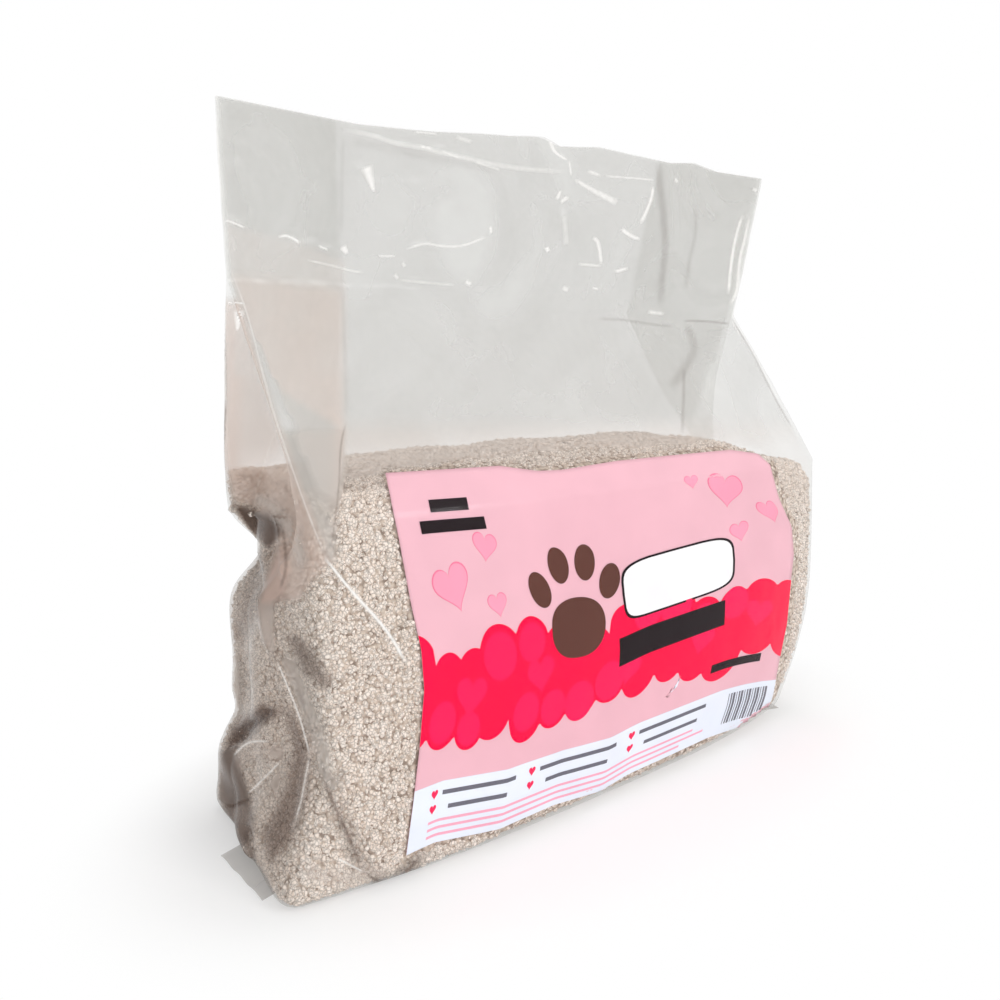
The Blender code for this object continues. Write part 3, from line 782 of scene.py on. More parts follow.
def ramp(tree, value, stops):
    """Socket with the colour of a ramp, given as places and linear colours."""
    node = add_node(tree, "ShaderNodeValToRGB", None, {"Fac": value})
    set_ramp(node, stops)
    return node.outputs["Color"]


def mapped(tree, value, low, high, to_low, to_high):
    """Socket with a value moved from one range to another."""
    return add_node(tree, "ShaderNodeMapRange", None,
                    {"Value": value, "From Min": low, "From Max": high, "To Min": to_low,
                     "To Max": to_high}).outputs[0]


def worked_out(tree, kind, *values):
    """Socket with the result of one kind of arithmetic on two or three values, kept from 0 to 1."""
    return add_node(tree, "ShaderNodeMath", {"operation": kind, "use_clamp": True},
                    dict(enumerate(values))).outputs[0]


def colour_mix(tree, share, low, high, blend="MIX"):
    """Socket with a mix of two colours."""
    return add_node(tree, "ShaderNodeMix", {"data_type": "RGBA", "blend_type": blend},
                    {0: share, 6: low, 7: high}).outputs[2]


def relief(tree, height, strength, depth, invert=False):
    """Socket with the normal of a surface that a height makes uneven."""
    return add_node(tree, "ShaderNodeBump", {"invert": invert},
                    {"Strength": strength, "Distance": depth, "Height": height}).outputs["Normal"]


def shader(tree, kind, colour, **inputs):
    """Socket with a plain surface of one colour."""
    return add_node(tree, "ShaderNode" + kind, None, {"Color": colour, **inputs}).outputs[0]


def shader_mix(tree, share, low, high):
    """Socket with a mix of two surfaces."""
    return add_node(tree, "ShaderNodeMixShader", None, {0: share, 1: low, 2: high}).outputs[0]


def finish_material(material, surface):
    """Sends a surface to the material's output."""
    add_node(material.node_tree, "ShaderNodeOutputMaterial", None, {"Surface": surface})
    return material


def solid_body(material, colour, roughness, normal, **inputs):
    """Finishes a material as an opaque body of one colour, roughness and normal."""
    body = add_node(material.node_tree, "ShaderNodeBsdfPrincipled", None,
                    {"Base Color": colour, "Roughness": roughness, "Normal": normal, **inputs})
    return finish_material(material, body.outputs[0])


def film_material():
    """Polyethylene film, blown: clear where it lies on the goods, milky where it hangs free, and glossy."""
    settings = bpy.context.scene.litter_bag
    material, tree = new_material("blown polyethylene film")
    creases = texture(tree, "Noise", 55.0, Detail=3.0, Distortion=0.8)
    normal = relief(tree, creases.outputs["Fac"], 0.25, 0.002)
    cloud = texture(tree, "Noise", 14.0, Detail=3.0, Distortion=1.5)
    uneven = mapped(tree, cloud.outputs["Fac"], 0.3, 0.7, 0.8, 1.18)
    scattered = add_node(tree, "ShaderNodeMath", {"operation": "MULTIPLY"},
                         {0: attribute(tree, "milk"), 1: uneven}).outputs[0]
    # Painted shade: the dark attribute tints the haze and the light through the film brown in shadowed
    # hollows
    dark = attribute(tree, "dark")
    # Painted tint: the warm attribute tints the haze for warm light from the litter mirrored in the film and
    # for the shade of the left gusset
    haze = colour_mix(tree, attribute(tree, "warm"), linear(settings.film_colour),
                      linear(settings.warm_colour))
    haze = colour_mix(tree, dark, haze, linear(settings.hollow_colour))
    clear = shader(tree, "BsdfTransparent", colour_mix(tree, dark, THROUGH_FILM, THROUGH_SHADED_HOLLOW))
    milky = shader_mix(tree, 0.4, shader(tree, "BsdfDiffuse", haze, Normal=normal),
                       shader(tree, "BsdfTranslucent", haze))
    share = worked_out(tree, "MULTIPLY_ADD", scattered, settings.haze, 0.004)
    gloss = shader(tree, "BsdfGlossy", WHITE, Roughness=0.14, Normal=normal)
    facing = add_node(tree, "ShaderNodeLayerWeight", None, {"Blend": 0.5, "Normal": normal})
    steep = worked_out(tree, "POWER", facing.outputs["Facing"], 5.0)
    sheen = worked_out(tree, "MULTIPLY_ADD", steep, 0.5, 0.008)
    return finish_material(material, shader_mix(tree, sheen, shader_mix(tree, share, clear, milky), gloss))


def crease_material(name, colour, shine):
    """A crease or fold of the film, strongest along its middle: a glowing painted highlight, or a flat
    colour such as painted shade.
    """
    material, tree = new_material(name)
    grit = texture(tree, "Noise", 260.0, Detail=2.0)
    broken = mapped(tree, grit.outputs["Fac"], 0.35, 0.6, 0.8, 1.0)
    share = worked_out(tree, "MULTIPLY", attribute(tree, "strength"), broken)
    # Painted highlights glow by emission; the other strips are a flat diffuse colour
    surface = shader(tree, "Emission" if shine else "BsdfDiffuse", linear(colour))
    clear = shader(tree, "BsdfTransparent", WHITE)
    return finish_material(material, shader_mix(tree, share, clear, surface))


def grain_material():
    """Bentonite granules, dried clay: chalky, each crumb of its own tone, darkened towards its cracks by
    painted shade.
    """
    settings = bpy.context.scene.litter_grain
    material, tree = new_material("bentonite granules")
    shade = ramp(tree, attribute(tree, "shade"),
                 ((0.0, linear(settings.dark_colour)), (0.35, linear(MIDDLE_GRAIN)),
                  (1.0, linear(settings.light_colour))))
    pits = texture(tree, "Voronoi", 620.0, {"feature": "DISTANCE_TO_EDGE"})
    # Painted shade: the crumbs darken towards the cracks of their surface, which also give their relief
    cracks_and_shade = mapped(tree, pits.outputs["Distance"], 0.0, 0.14, 0.5, 1.0)
    tone = colour_mix(tree, 1.0, shade, cracks_and_shade, "MULTIPLY")
    return solid_body(material, tone, 0.92, relief(tree, cracks_and_shade, 0.6, 0.0007))


def bed_material():
    """The packed clay behind the outer granules, darker as painted shade, and darkest at the edges of the
    pattern of crumbs beneath, where the gaps lie in shadow.
    """
    material, tree = new_material("packed bentonite")
    cells = texture(tree, "Voronoi", 380.0).outputs["Distance"]
    shade = ramp(tree, cells, [(place, linear(colour)) for place, colour in BED_TONES_AND_GAP_SHADE])
    return solid_body(material, shade, 0.95, relief(tree, cells, 1.0, 0.0012, True))


def paper_material(name, colour):
    """Coated paper, offset printed: an even colour with a faint mottle and a satin surface."""
    material, tree = new_material(name)
    mottle = texture(tree, "Noise", 45.0, Detail=4.0).outputs["Fac"]
    low = tuple(c * 0.94 for c in linear(colour)[:3]) + (1.0,)
    shade = ramp(tree, mottle, ((0.3, low), (0.7, linear(colour))))
    return solid_body(material, shade, 0.5, relief(tree, mottle, 0.15, 0.001),
                      **{"Specular IOR Level": 0.06})


def finish_piece(piece, slot, node, *materials):
    """Gives a piece its materials and body, and hides the CAD node that it stands for."""
    for material in materials:
        piece.data.materials.append(material)
    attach(piece, "root")
    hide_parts(node)


def depth_inside(px, outline):
    """Distance of each pixel from an outline of pixels: more than 0 inside it, and less outside."""
    corners = np.array(outline, float)
    gap, along = line_distance(px, (*outline, outline[0]))
    inside = np.zeros(px.shape[:-1], bool)
    for a, b in zip(corners, np.roll(corners, -1, axis=0)):
        level = (a[1] > px[..., 1]) != (b[1] > px[..., 1])
        rise = b[1] - a[1] if b[1] != a[1] else 1e-9
        inside ^= level & (px[..., 0] < a[0] + (b[0] - a[0]) * (px[..., 1] - a[1]) / rise)
    return np.where(inside, gap, -gap)


def film_values(grid):
    """How milky, how warm and how dark the film looks at each point of its grid; warm is a painted tint and
    dark is painted shade.
    """
    px = to_pixels(grid)
    free = ease((grid[:, :, 2] - SHOULDER - 0.006) / 0.02)
    milk = between(MILK_ON_LITTER, 1.0, free)
    warm = np.zeros(milk.shape)
    dark = np.zeros(milk.shape)
    for part in (LEFT_SLICE, RIGHT_SLICE):
        milk[:, part] = between(*SIDE_MILK, free[:, part])
    for parts, outline, soft, milkier, warmer, darker in FILM_REGIONS:
        for part in parts:
            share = ease(depth_inside(px[:, part], outline) / soft + 0.5)
            milk[:, part] += milkier * share
            warm[:, part] += warmer * share
            dark[:, part] += darker * share
    on_sheet = ease(depth_inside(px[:, FRONT_SLICE], SHEET_OUTLINE) / 6 + 1)
    milk[:, FRONT_SLICE] *= 1 - on_sheet
    return {"milk": milk, "warm": np.clip(warm, 0.0, 1.0), "dark": np.clip(dark, 0.0, 1.0)}


def ear_mesh(side, sign):
    """Flat end of the bottom seal beside the base, as a sheet that lies on the floor."""
    inner = side["foot"] - BASE_RADIUS - EAR_ROOT
    outer = side["foot"] + EAR_REACH
    start = np.array((inner, -EAR_FRONT + BASE_RADIUS))
    tip = np.array((outer - EAR_REACH / 4, -EAR_FRONT + EAR_REACH / 4))
    end = np.array((outer, -EAR_FRONT + EAR_WIDTH))
    root = np.array((inner, -EAR_FRONT + EAR_WIDTH + EAR_REACH))
    grid = np.zeros((EAR_STEPS + 1, EAR_STEPS + 1, 3))
    for r in range(EAR_STEPS + 1):
        for c in range(EAR_STEPS + 1):
            u, v = c / EAR_STEPS, r / EAR_STEPS
            flat = between(between(start, root, v), between(tip, end, v), u)
            grid[r, c] = (sign * flat[0], flat[1], 0.0004 + 0.0009 * u * math.sin(9 * v) ** 2)
    placed = grid + np.array(HEADER_ORIGIN)
    values = {"milk": np.full(grid.shape[:2], EAR_MILK), "dark": np.full(grid.shape[:2], EAR_SHADE)}
    name = "seal_end_left" if sign < 0 else "seal_end_right"
    return grid_mesh(name, placed[:, ::sign], closed=False, values=values)


class OBJECT_OT_litter_film(bpy.types.Operator):
    """Build the clear film bag"""

    bl_idname = "object.litter_film"
    bl_label = "Film"

    def execute(self, context):
        grid, normals = film_surface()
        material = film_material()
        film = grid_mesh("clear_film", grid, values=film_values(grid))
        finish_piece(film, "film", "film_bag", material)
        for side, sign in ((LEFT, -1), (RIGHT, 1)):
            finish_piece(ear_mesh(side, sign), "film", "film_bag", material)
        target = FilmTarget([*range(RING_POINTS), 0])
        shine = crease_material("film crease, painted glint", CREASE_GLINT_COLOUR, True)
        shade = crease_material("film fold in shadow", SHADE_COLOUR, False)
        pale = crease_material("film fold, doubled and milky", DOUBLED_COLOUR, False)
        for name, strokes, look in (("creases_painted_glint", PAINTED_GLINT_STROKES, shine),
                                    ("folds_dark", DARK_STROKES, shade), ("folds_pale", PALE_STROKES, pale)):
            finish_piece(stroke_mesh(name, strokes, target), "film", "film_bag", look)
        return {"FINISHED"}


def smoothed(line, times=2):
    """The same line with its corners cut."""
    points = np.array(line, float)
    for _ in range(times):
        if len(points) < 3:
            break
        low = 0.75 * points[:-1] + 0.25 * points[1:]
        high = 0.25 * points[:-1] + 0.75 * points[1:]
        cut = np.stack([low, high], 1).reshape(-1, 2)
        points = np.concatenate([points[:1], cut[1:-1], points[-1:]])
    return points


def grid_faces(rows, columns, first=0):
    """Corner numbers of the faces of a grid whose points are numbered along its rows."""
    starts = (first + r * columns + k for r in range(rows - 1) for k in range(columns - 1))
    return [(a, a + 1, a + columns + 1, a + columns) for a in starts]


def stroke_mesh(name, strokes, target):
    """Mesh of thin strips that lie on the film along traced lines, each stronger along its middle."""
    points = []
    strengths = []
    faces = []
    for strength, first, last, line in strokes:
        path = smoothed(line)
        count = max(int(lengths_along(path)[-1] / STROKE_STEP), 4)
        path = respaced(path, count + 1)
        along = np.gradient(path, axis=0)
        along /= np.maximum(np.linalg.norm(along, axis=1, keepdims=True), 1e-9)
        across = np.column_stack([-along[:, 1], along[:, 0]])
        t = np.arange(count + 1) / count
        half = between(first, last, t)
        ends = ease(np.minimum(t, 1 - t) * 7 + 0.15)
        base = len(points)
        for k in range(count + 1):
            for s in STROKE_COLUMNS:
                points.append(target.hit(path[k] + across[k] * half[k] * s, -STROKE_LIFT))
                strengths.append(strength * ends[k] * (1 - s * s) ** 1.5)
        for corners in grid_faces(count + 1, len(STROKE_COLUMNS), base):
            sizes = [(points[i] - points[j]).length for i, j in zip(corners, corners[1:] + corners[:1])]
            if max(sizes) < STROKE_TEAR:
                faces.append(corners)
    mesh = bpy.data.meshes.new(name)
    mesh.from_pydata(points, [], faces)
    held = mesh.attributes.new("strength", "FLOAT", "POINT")
    held.data.foreach_set("value", strengths)
    mesh.shade_smooth()
    return link(name, mesh)


def litter_surface():
    """Grid of the litter's outer face, a grain's depth inside the film, and over its low mound."""
    grain = bpy.context.scene.litter_grain.grain
    grid, normals = film_surface()
    height = plain_surface()[:, 0, 2]
    rim_row = int(np.searchsorted(height, RIM))
    inside = grid[:rim_row] - normals[:rim_row] * (LITTER_GAP + 0.5 * grain)
    inside[:BASE_ROWS] = grid[:BASE_ROWS] + (0, 0, 2 * LITTER_GAP)
    rim = inside[-1].copy()
    left, right = (reach(side, RIM) - side["tuck"] * fold_share(side, RIM) - grain for side in (LEFT, RIGHT))
    rim[:, 0] = np.clip(rim[:, 0], HEADER_ORIGIN.x - left, HEADER_ORIGIN.x + right)
    centre = rim.mean(axis=0)
    rows = [*inside]
    for scale in MOUND_SCALES:
        line = centre + (rim - centre) * scale
        line[:, 2] = rim[:, 2] + MOUND * (1 - scale * scale)
        rows.append(line)
    rows = np.array(rows)
    fall = ease((rows[:, :, 0] - HEADER_ORIGIN.x - 0.08) / 0.09) * ease((rows[:, :, 2] - 0.11) / 0.06)
    rows[:, :, 2] -= RIGHT_FALL * fall
    top = rows[rim_row:]
    uneven = MOUND_ROUGHNESS * soft_noise(top * (1.0, 1.0, 0.0), 0.030, 4.4)
    top[:, :, 2] += uneven * ease((1 - MOUND_SCALES) * 8)[:, None]
    return rows, rim_row


def scatter(grid, spacing, rng):
    """Even but uneven-looking places on a grid: points, outward directions, the row of each, and how far
    apart the rows lie there, as a share of the spacing."""
    normals = grid_normals(grid)
    steps = np.linalg.norm(np.diff(grid, axis=0), axis=2)
    climb = np.concatenate([[0], np.cumsum(np.quantile(steps, 0.8, axis=1))])
    found = []
    for number, level in enumerate(np.arange(0, climb[-1], spacing * 0.88)):
        row = np.interp(level, climb, np.arange(len(climb)))
        low = min(int(row), len(grid) - 2)
        share = row - low
        line = between(grid[low], grid[low + 1], share)
        out = between(normals[low], normals[low + 1], share)
        rise = grid[low + 1] - grid[low]
        around = np.concatenate([line, line[:1]])
        along = lengths_along(around)
        count = max(int(along[-1] / spacing), 3)
        wanted = (np.arange(count) + 0.5 * (number % 2)) * along[-1] / count
        wanted = (wanted + rng.uniform(-0.45, 0.45, count) * spacing) % along[-1]
        spots, up, ways = (np.column_stack([np.interp(wanted, along, column) for column in held.T])
                           for held in (around, np.concatenate([rise, rise[:1]]),
                                        np.concatenate([out, out[:1]])))
        length = np.linalg.norm(up, axis=1, keepdims=True)
        apart = length[:, 0] / max(climb[low + 1] - climb[low], 1e-9)
        up /= np.maximum(length, 1e-9)
        spots = spots + up * rng.uniform(-0.4, 0.4, (count, 1)) * spacing
        found.append(np.column_stack([spots, ways, np.full(count, row), apart]))
    return np.concatenate(found)


def grain_mesh(name, spots, ways, grain, rng):
    """One mesh of many crumbs, each a squashed and turned ball with a shade of its own."""
    bm = bmesh.new()
    bmesh.ops.create_icosphere(bm, subdivisions=1, radius=0.5)
    bm.verts.ensure_lookup_table()
    ball = np.array([v.co for v in bm.verts])
    corners = np.array([[v.index for v in f.verts] for f in bm.faces])
    bm.free()
    count = len(spots)
    size = grain * rng.triangular(0.6, 1.0, 1.5, (count, 1, 1))
    squash = rng.uniform(0.65, 1.2, (count, 1, 3))
    uneven = 1 + rng.uniform(-0.2, 0.2, (count, len(ball), 1))
    turns = random_turns(count, rng)
    shaped = np.einsum("nij,nkj->nki", turns, ball[None] * squash * uneven * size)
    sunk = spots - ways * (grain * rng.uniform(-0.05, 0.35, (count, 1)))
    points = (shaped + sunk[:, None, :]).reshape(-1, 3)
    points[:, 2] = np.maximum(points[:, 2], 0.0006)
    faces = (corners[None] + (np.arange(count) * len(ball))[:, None, None]).reshape(-1, 3)
    mesh = bpy.data.meshes.new(name)
    mesh.vertices.add(len(points))
    mesh.vertices.foreach_set("co", points.ravel())
    mesh.loops.add(faces.size)
    mesh.loops.foreach_set("vertex_index", faces.ravel())
    mesh.polygons.add(len(faces))
    mesh.polygons.foreach_set("loop_start", np.arange(0, faces.size, 3))
    mesh.update(calc_edges=True)
    shade = mesh.attributes.new("shade", "FLOAT", "POINT")
    shade.data.foreach_set("value", np.repeat(rng.beta(4.0, 2.2, count), len(ball)))
    return link(name, mesh)


def random_turns(count, rng):
    """Random rotation matrices."""
    q = rng.normal(size=(count, 4))
    q /= np.linalg.norm(q, axis=1, keepdims=True)
    w, x, y, z = q.T
    return np.stack([
        np.stack([1 - 2 * (y * y + z * z), 2 * (x * y - z * w), 2 * (x * z + y * w)], -1),
        np.stack([2 * (x * y + z * w), 1 - 2 * (x * x + z * z), 2 * (y * z - x * w)], -1),
        np.stack([2 * (x * z - y * w), 2 * (y * z + x * w), 1 - 2 * (x * x + y * y)], -1),
    ], 1)


class OBJECT_OT_litter_fill(bpy.types.Operator):
    """Build the litter's packed bed and its loose outer granules"""

    bl_idname = "object.litter_fill"
    bl_label = "Litter"

    def execute(self, context):
        settings = context.scene.litter_grain
        grid, rim_row = litter_surface()
        bed = grid_mesh("litter_bed", grid)
        finish_piece(bed, "litter", "litter_fill", bed_material())
        rng = np.random.default_rng(11)
        spots = scatter(grid[BASE_ROWS:], settings.spacing, rng)
        rows = spots[:, 6] + BASE_ROWS
        places = spots[:, :3]
        ways = spots[:, 3:6] / np.maximum(np.linalg.norm(spots[:, 3:6], axis=1, keepdims=True), 1e-9)
        hidden = depth_behind_sheet(places, ways)
        keep = hidden < SHEET_MARGIN
        places = places - ways * np.where((hidden > -SHEET_MARGIN) & keep, SHEET_SINK, 0.0)[:, None]
        top = rows >= rim_row - 0.5
        back = (ways[:, 1] > SIDE_TURN) & ~top
        left = (ways[:, 0] < -SIDE_TURN) & ~top & ~back
        right = (ways[:, 0] > SIDE_TURN) & ~top & ~back
        chance = rng.random(len(rows))
        groups = {
            "litter_granules_top": top & (chance < TOP_SHARE * spots[:, 7]) & keep,
            "litter_granules_left": left,
            "litter_granules_front": ~top & ~back & ~left & ~right & keep,
            "litter_granules_right": right & (chance < RIGHT_SHARE),
            "litter_granules_back": back & (chance < BACK_SHARE),
        }
        material = grain_material()
        for name, chosen in groups.items():
            piece = grain_mesh(name, places[chosen], ways[chosen], settings.grain, rng)
            finish_piece(piece, "litter", "litter_fill", material)
        return {"FINISHED"}


# The printed sheet's outline in pixels of the photograph
SHEET_LEFT = ((386, 472), (400, 541), (412, 605), (422, 650), (425, 690), (420, 753), (414, 804), (407, 856))
SHEET_RIGHT = ((771, 464), (780, 498), (793, 527), (795, 555), (792, 582), (788, 624), (781, 658),
               (774, 696), (764, 722))
SHEET_TOP = ((386, 472), (500, 465), (538, 470), (563, 469), (618, 460), (668, 455), (731, 449),
             (759, 453), (771, 464))
SHEET_BOTTOM = ((407, 856), (435, 843), (500, 830), (554, 806), (601, 792), (629, 775), (653, 764),
                (709, 738), (733, 730), (764, 722))
SHEET_CORNERS = (SHEET_TOP[0], SHEET_TOP[-1], SHEET_BOTTOM[-1], SHEET_BOTTOM[0])
SHEET_OUTLINE = (*SHEET_TOP, *SHEET_RIGHT[1:], *SHEET_BOTTOM[-2::-1], *SHEET_LEFT[-2:0:-1])


def depth_behind_sheet(places, ways):
    """How far inside the sheet's outline each place shows, in pixels; far outside for the other sides."""
    depth = depth_inside(to_pixels(places), SHEET_OUTLINE)
    front = (ways[:, 1] < -0.2) | (places[:, 1] < HEADER_ORIGIN.y - 0.045)
    return np.where(front, depth, -IMAGE_SIDE)


def boundary(line, share):
    """Point at a share of a pixel line's length."""
    corners = np.array(line, float)
    return at_lengths(corners, [share * lengths_along(corners)[-1]])[0]


class FilmTarget:
    """A part of the film as a target for pixels of the photograph."""

    def __init__(self, part):
        grid, normals = film_surface()
        face = grid[BASE_ROWS:][:, part]
        points = [Vector(p) for p in face.reshape(-1, 3)]
        self.tree = BVHTree.FromPolygons(points, grid_faces(*face.shape[:2]))
        self.axes = camera_axes()
        self.focal = bpy.context.scene.litter_stage.focal_px

    def hit(self, px, depth):
        """Point behind the film at a pixel, pushed in by a depth."""
        right, forward, up = self.axes
        way = forward + right * ((px[0] - IMAGE_MIDDLE) / self.focal)
        way += up * ((IMAGE_MIDDLE - px[1]) / self.focal)
        place, normal, _, _ = self.tree.ray_cast(CAMERA_PLACE, way.normalized())
        if place is None:
            place, normal, _, _ = self.tree.find_nearest(CAMERA_PLACE + way * FILM_DISTANCE)
        if normal.dot(way) > 0:
            normal = -normal
        return place - normal * depth


# How much deeper the granules lie at the sheet's edge, and how wide that edge is in pixels
SHEET_SINK = 0.0009
SHEET_MARGIN = 4
# How finely the sheet is drawn, and how far it lies behind the film
SHEET_COLUMNS = 110
SHEET_ROWS = 70
SHEET_DEPTH = 0.0007


def sheet_grid(depth):
    """Points of the sheet, from its lower left corner, by a blend of its four edges in the photograph."""
    film = FilmTarget(FRONT_SLICE)
    grid = np.zeros((SHEET_ROWS + 1, SHEET_COLUMNS + 1, 3))
    corners = [np.array(c, float) for c in SHEET_CORNERS]
    for r in range(SHEET_ROWS + 1):
        v = r / SHEET_ROWS
        for c in range(SHEET_COLUMNS + 1):
            u = c / SHEET_COLUMNS
            low = boundary(SHEET_BOTTOM, u)
            high = boundary(SHEET_TOP, u)
            left = boundary(SHEET_LEFT, 1 - v)
            right = boundary(SHEET_RIGHT, 1 - v)
            flat = between(between(corners[3], corners[2], u), between(corners[0], corners[1], u), v)
            px = between(low, high, v) + between(left, right, u) - flat
            grid[r, c] = film.hit(px, depth)
    return grid


# The flat print in millimetres, from its lower left corner
PRINT_WIDE = 266.0
PRINT_HIGH = 175.0
STRIP_TOP = 29.0
BAND_LOW = 57.0
BAND_HIGH = 83.0
# Lift of each layer of ink in metres, and length of a bar's faces in millimetres
INK_STEP = 0.00006
BAR_STEP = 3


class Print:
    """The sheet's face as a map from print millimetres to space, for shapes laid on it."""

    def __init__(self, grid):
        self.grid = grid
        along = np.gradient(grid, axis=1)
        upright = np.gradient(grid, axis=0)
        out = np.cross(along, upright)
        self.normals = out / np.linalg.norm(out, axis=2, keepdims=True)

    def place(self, x, y, lift):
        """Point at a place of the print, in millimetres, lifted off the sheet's face."""
        rows, columns = self.grid.shape[:2]
        r = min(max(y / PRINT_HIGH, 0.0), 1.0) * (rows - 1)
        c = min(max(x / PRINT_WIDE, 0.0), 1.0) * (columns - 1)
        r0 = min(int(r), rows - 2)
        c0 = min(int(c), columns - 2)
        blend = []
        for values in (self.grid, self.normals):
            low = between(values[r0, c0], values[r0, c0 + 1], c - c0)
            high = between(values[r0 + 1, c0], values[r0 + 1, c0 + 1], c - c0)
            blend.append(between(low, high, r - r0))
        return Vector(blend[0] + blend[1] * lift)


def turned(x, y, dx, dy, angle):
    """Place at an offset from a middle, after the offset is turned by an angle."""
    return x + dx * math.cos(angle) - dy * math.sin(angle), y + dx * math.sin(angle) + dy * math.cos(angle)


class Ink:
    """One colour of the print: flat shapes laid on the sheet, all in one mesh."""

    def __init__(self, face, layer):
        self.face = face
        self.lift = layer * INK_STEP
        self.bm = bmesh.new()

    def point(self, x, y):
        """New corner at a place of the print."""
        return self.bm.verts.new(self.face.place(x, y, self.lift))

    def fill(self, lines):
        """Faces between lines of corners."""
        for low, high in zip(lines, lines[1:]):
            for k in range(len(low) - 1):
                self.bm.faces.new((low[k], low[k + 1], high[k + 1], high[k]))

    def block(self, lows, highs, xs, rows):
        """Field between two lines over the same places across the print."""
        self.fill([[self.point(x, between(low, high, k / rows)) for x, low, high in zip(xs, lows, highs)]
                   for k in range(rows + 1)])

    def bar(self, x, y, wide, high, tilt=0.0):
        """Straight bar around a middle, tilted by an angle."""
        count = max(int(wide / BAR_STEP), 1)
        rows = max(int(high / BAR_STEP), 1)
        self.fill([[self.point(*turned(x, y, (k / count - 0.5) * wide, (j / rows - 0.5) * high, tilt))
                    for k in range(count + 1)] for j in range(rows + 1)])

    def disc(self, x, y, shape, size, turn=0.0, rings=5):
        """Rounded shape around a middle: its outline is a list of places in its own unit."""
        middle = self.point(x, y)
        loops = []
        for k in range(1, rings + 1):
            share = k / rings * size
            loops.append([self.point(*turned(x, y, share * ox, share * oy, turn)) for ox, oy in shape])
        for k in range(len(shape)):
            n = (k + 1) % len(shape)
            self.bm.faces.new((middle, loops[0][k], loops[0][n]))
            for inner, outer in zip(loops, loops[1:]):
                self.bm.faces.new((inner[k], outer[k], outer[n], inner[n]))

    def finish(self, name, colour):
        """Turns the shapes into one piece of the printed sheet."""
        mesh = bpy.data.meshes.new(name)
        self.bm.to_mesh(mesh)
        self.bm.free()
        mesh.shade_smooth()
        piece = link("print_" + name.replace(" ", "_"), mesh)
        finish_piece(piece, "label", "label_sheet", paper_material("ink, " + name, colour))


def heart_shape(count=44):
    """Outline of a plain heart."""
    found = []
    for k in range(count):
        a = 2 * math.pi * k / count
        x = 16 * math.sin(a) ** 3
        y = 13 * math.cos(a) - 5 * math.cos(2 * a) - 2 * math.cos(3 * a) - math.cos(4 * a)
        found.append((-x / 17, (y + 2.5) / 17))
    return found


def oval_shape(wide, high, power=2.0, count=40):
    """Outline of an oval, squarer with a higher power."""
    found = []
    for k in range(count):
        c = math.cos(2 * math.pi * k / count)
        s = math.sin(2 * math.pi * k / count)
        found.append((wide * math.copysign(abs(c) ** (2 / power), c),
                      high * math.copysign(abs(s) ** (2 / power), s)))
    return found


def print_band(face, rng):
    """Red band with a scalloped edge, and paler rounds on it."""
    band = Ink(face, 1)
    xs = np.linspace(0, PRINT_WIDE, 220)
    low = np.full(len(xs), BAND_LOW)
    high = np.full(len(xs), BAND_HIGH)
    scallops = []
    for edge, lean in ((BAND_HIGH, 1), (BAND_LOW, -1)):
        x = -4.0
        while x < PRINT_WIDE + 8:
            radius = rng.uniform(10.0, 14.5)
            scallops.append((x, edge + lean * rng.uniform(-6.0, 6.0), radius))
            x += radius * rng.uniform(1.5, 1.85)
    for cx, cy, radius in scallops:
        half = np.sqrt(np.maximum(radius ** 2 - (xs - cx) ** 2, 0))
        near = half > 0
        high = np.where(near, np.maximum(high, cy + half), high)
        low = np.where(near, np.minimum(low, cy - half), low)
    band.block(low, high, xs, 14)
    band.finish("red band", "F90845")
    rounds = Ink(face, 2)
    for cx, cy, radius in scallops:
        if 8 < cx < PRINT_WIDE - 8 and rng.random() < 0.45:
            rounds.disc(cx, cy + rng.uniform(-4, 4), oval_shape(1.0, 1.0, count=28), radius * 0.8)
    for cx in (32, 84, 148, 206, 243):
        rounds.disc(cx + rng.uniform(-4, 4), 68 + rng.uniform(-6, 6), heart_shape(), rng.uniform(9, 12),
                    rng.uniform(-0.4, 0.4))
    rounds.finish("paler rounds", "FA1D59")


def print_hearts(face):
    """Plain pink hearts, each on a slightly darker one that shows as its outline."""
    places = ((30, 118, 13.5, 0.25), (56, 136, 8.5, -0.2), (58, 108, 7.0, 0.1), (226, 150, 12.5, -0.25),
              (251, 136, 8.5, 0.2), (228, 124, 7.0, 0.15), (205, 158, 5.0, 0.0))
    outline = Ink(face, 1)
    fill = Ink(face, 2)
    for x, y, size, turn in places:
        outline.disc(x, y, heart_shape(), size, turn)
        fill.disc(x, y, heart_shape(), size * 0.93, turn)
    outline.finish("heart outlines", "EE7F9E")
    fill.finish("hearts", "FC9DB5")


def print_strip(face):
    """Pale strip along the foot of the sheet, with bars where a print would have its lines."""
    strip = Ink(face, 1)
    xs = np.linspace(0, PRINT_WIDE, 110)
    strip.block(np.zeros(len(xs)), np.full(len(xs), STRIP_TOP), xs, 10)
    strip.finish("pale strip", "E4EAF6")
    dark = Ink(face, 2)
    bullets = Ink(face, 2)
    for x, wide in ((16, 52), (86, 56), (160, 50)):
        for y in (23.5, 16.5):
            bullets.disc(x, y, heart_shape(28), 2.6)
            dark.bar(x + 6 + wide / 2, y, wide * (1.0 if y > 20 else 0.8), 2.1)
    for k in range(15):
        dark.bar(233 + k * 1.9, 16, 0.5 + 0.5 * ((k * 7) % 3), 19)
    dark.finish("grey bars", "6B6A75")
    bullets.finish("red bullets", "EE2E5B")
    lines = Ink(face, 2)
    for y, wide in ((10.6, 196), (7.2, 205), (3.8, 188)):
        lines.bar(14 + wide / 2, y, wide, 1.3)
    lines.finish("pink lines", "EFA9BE")


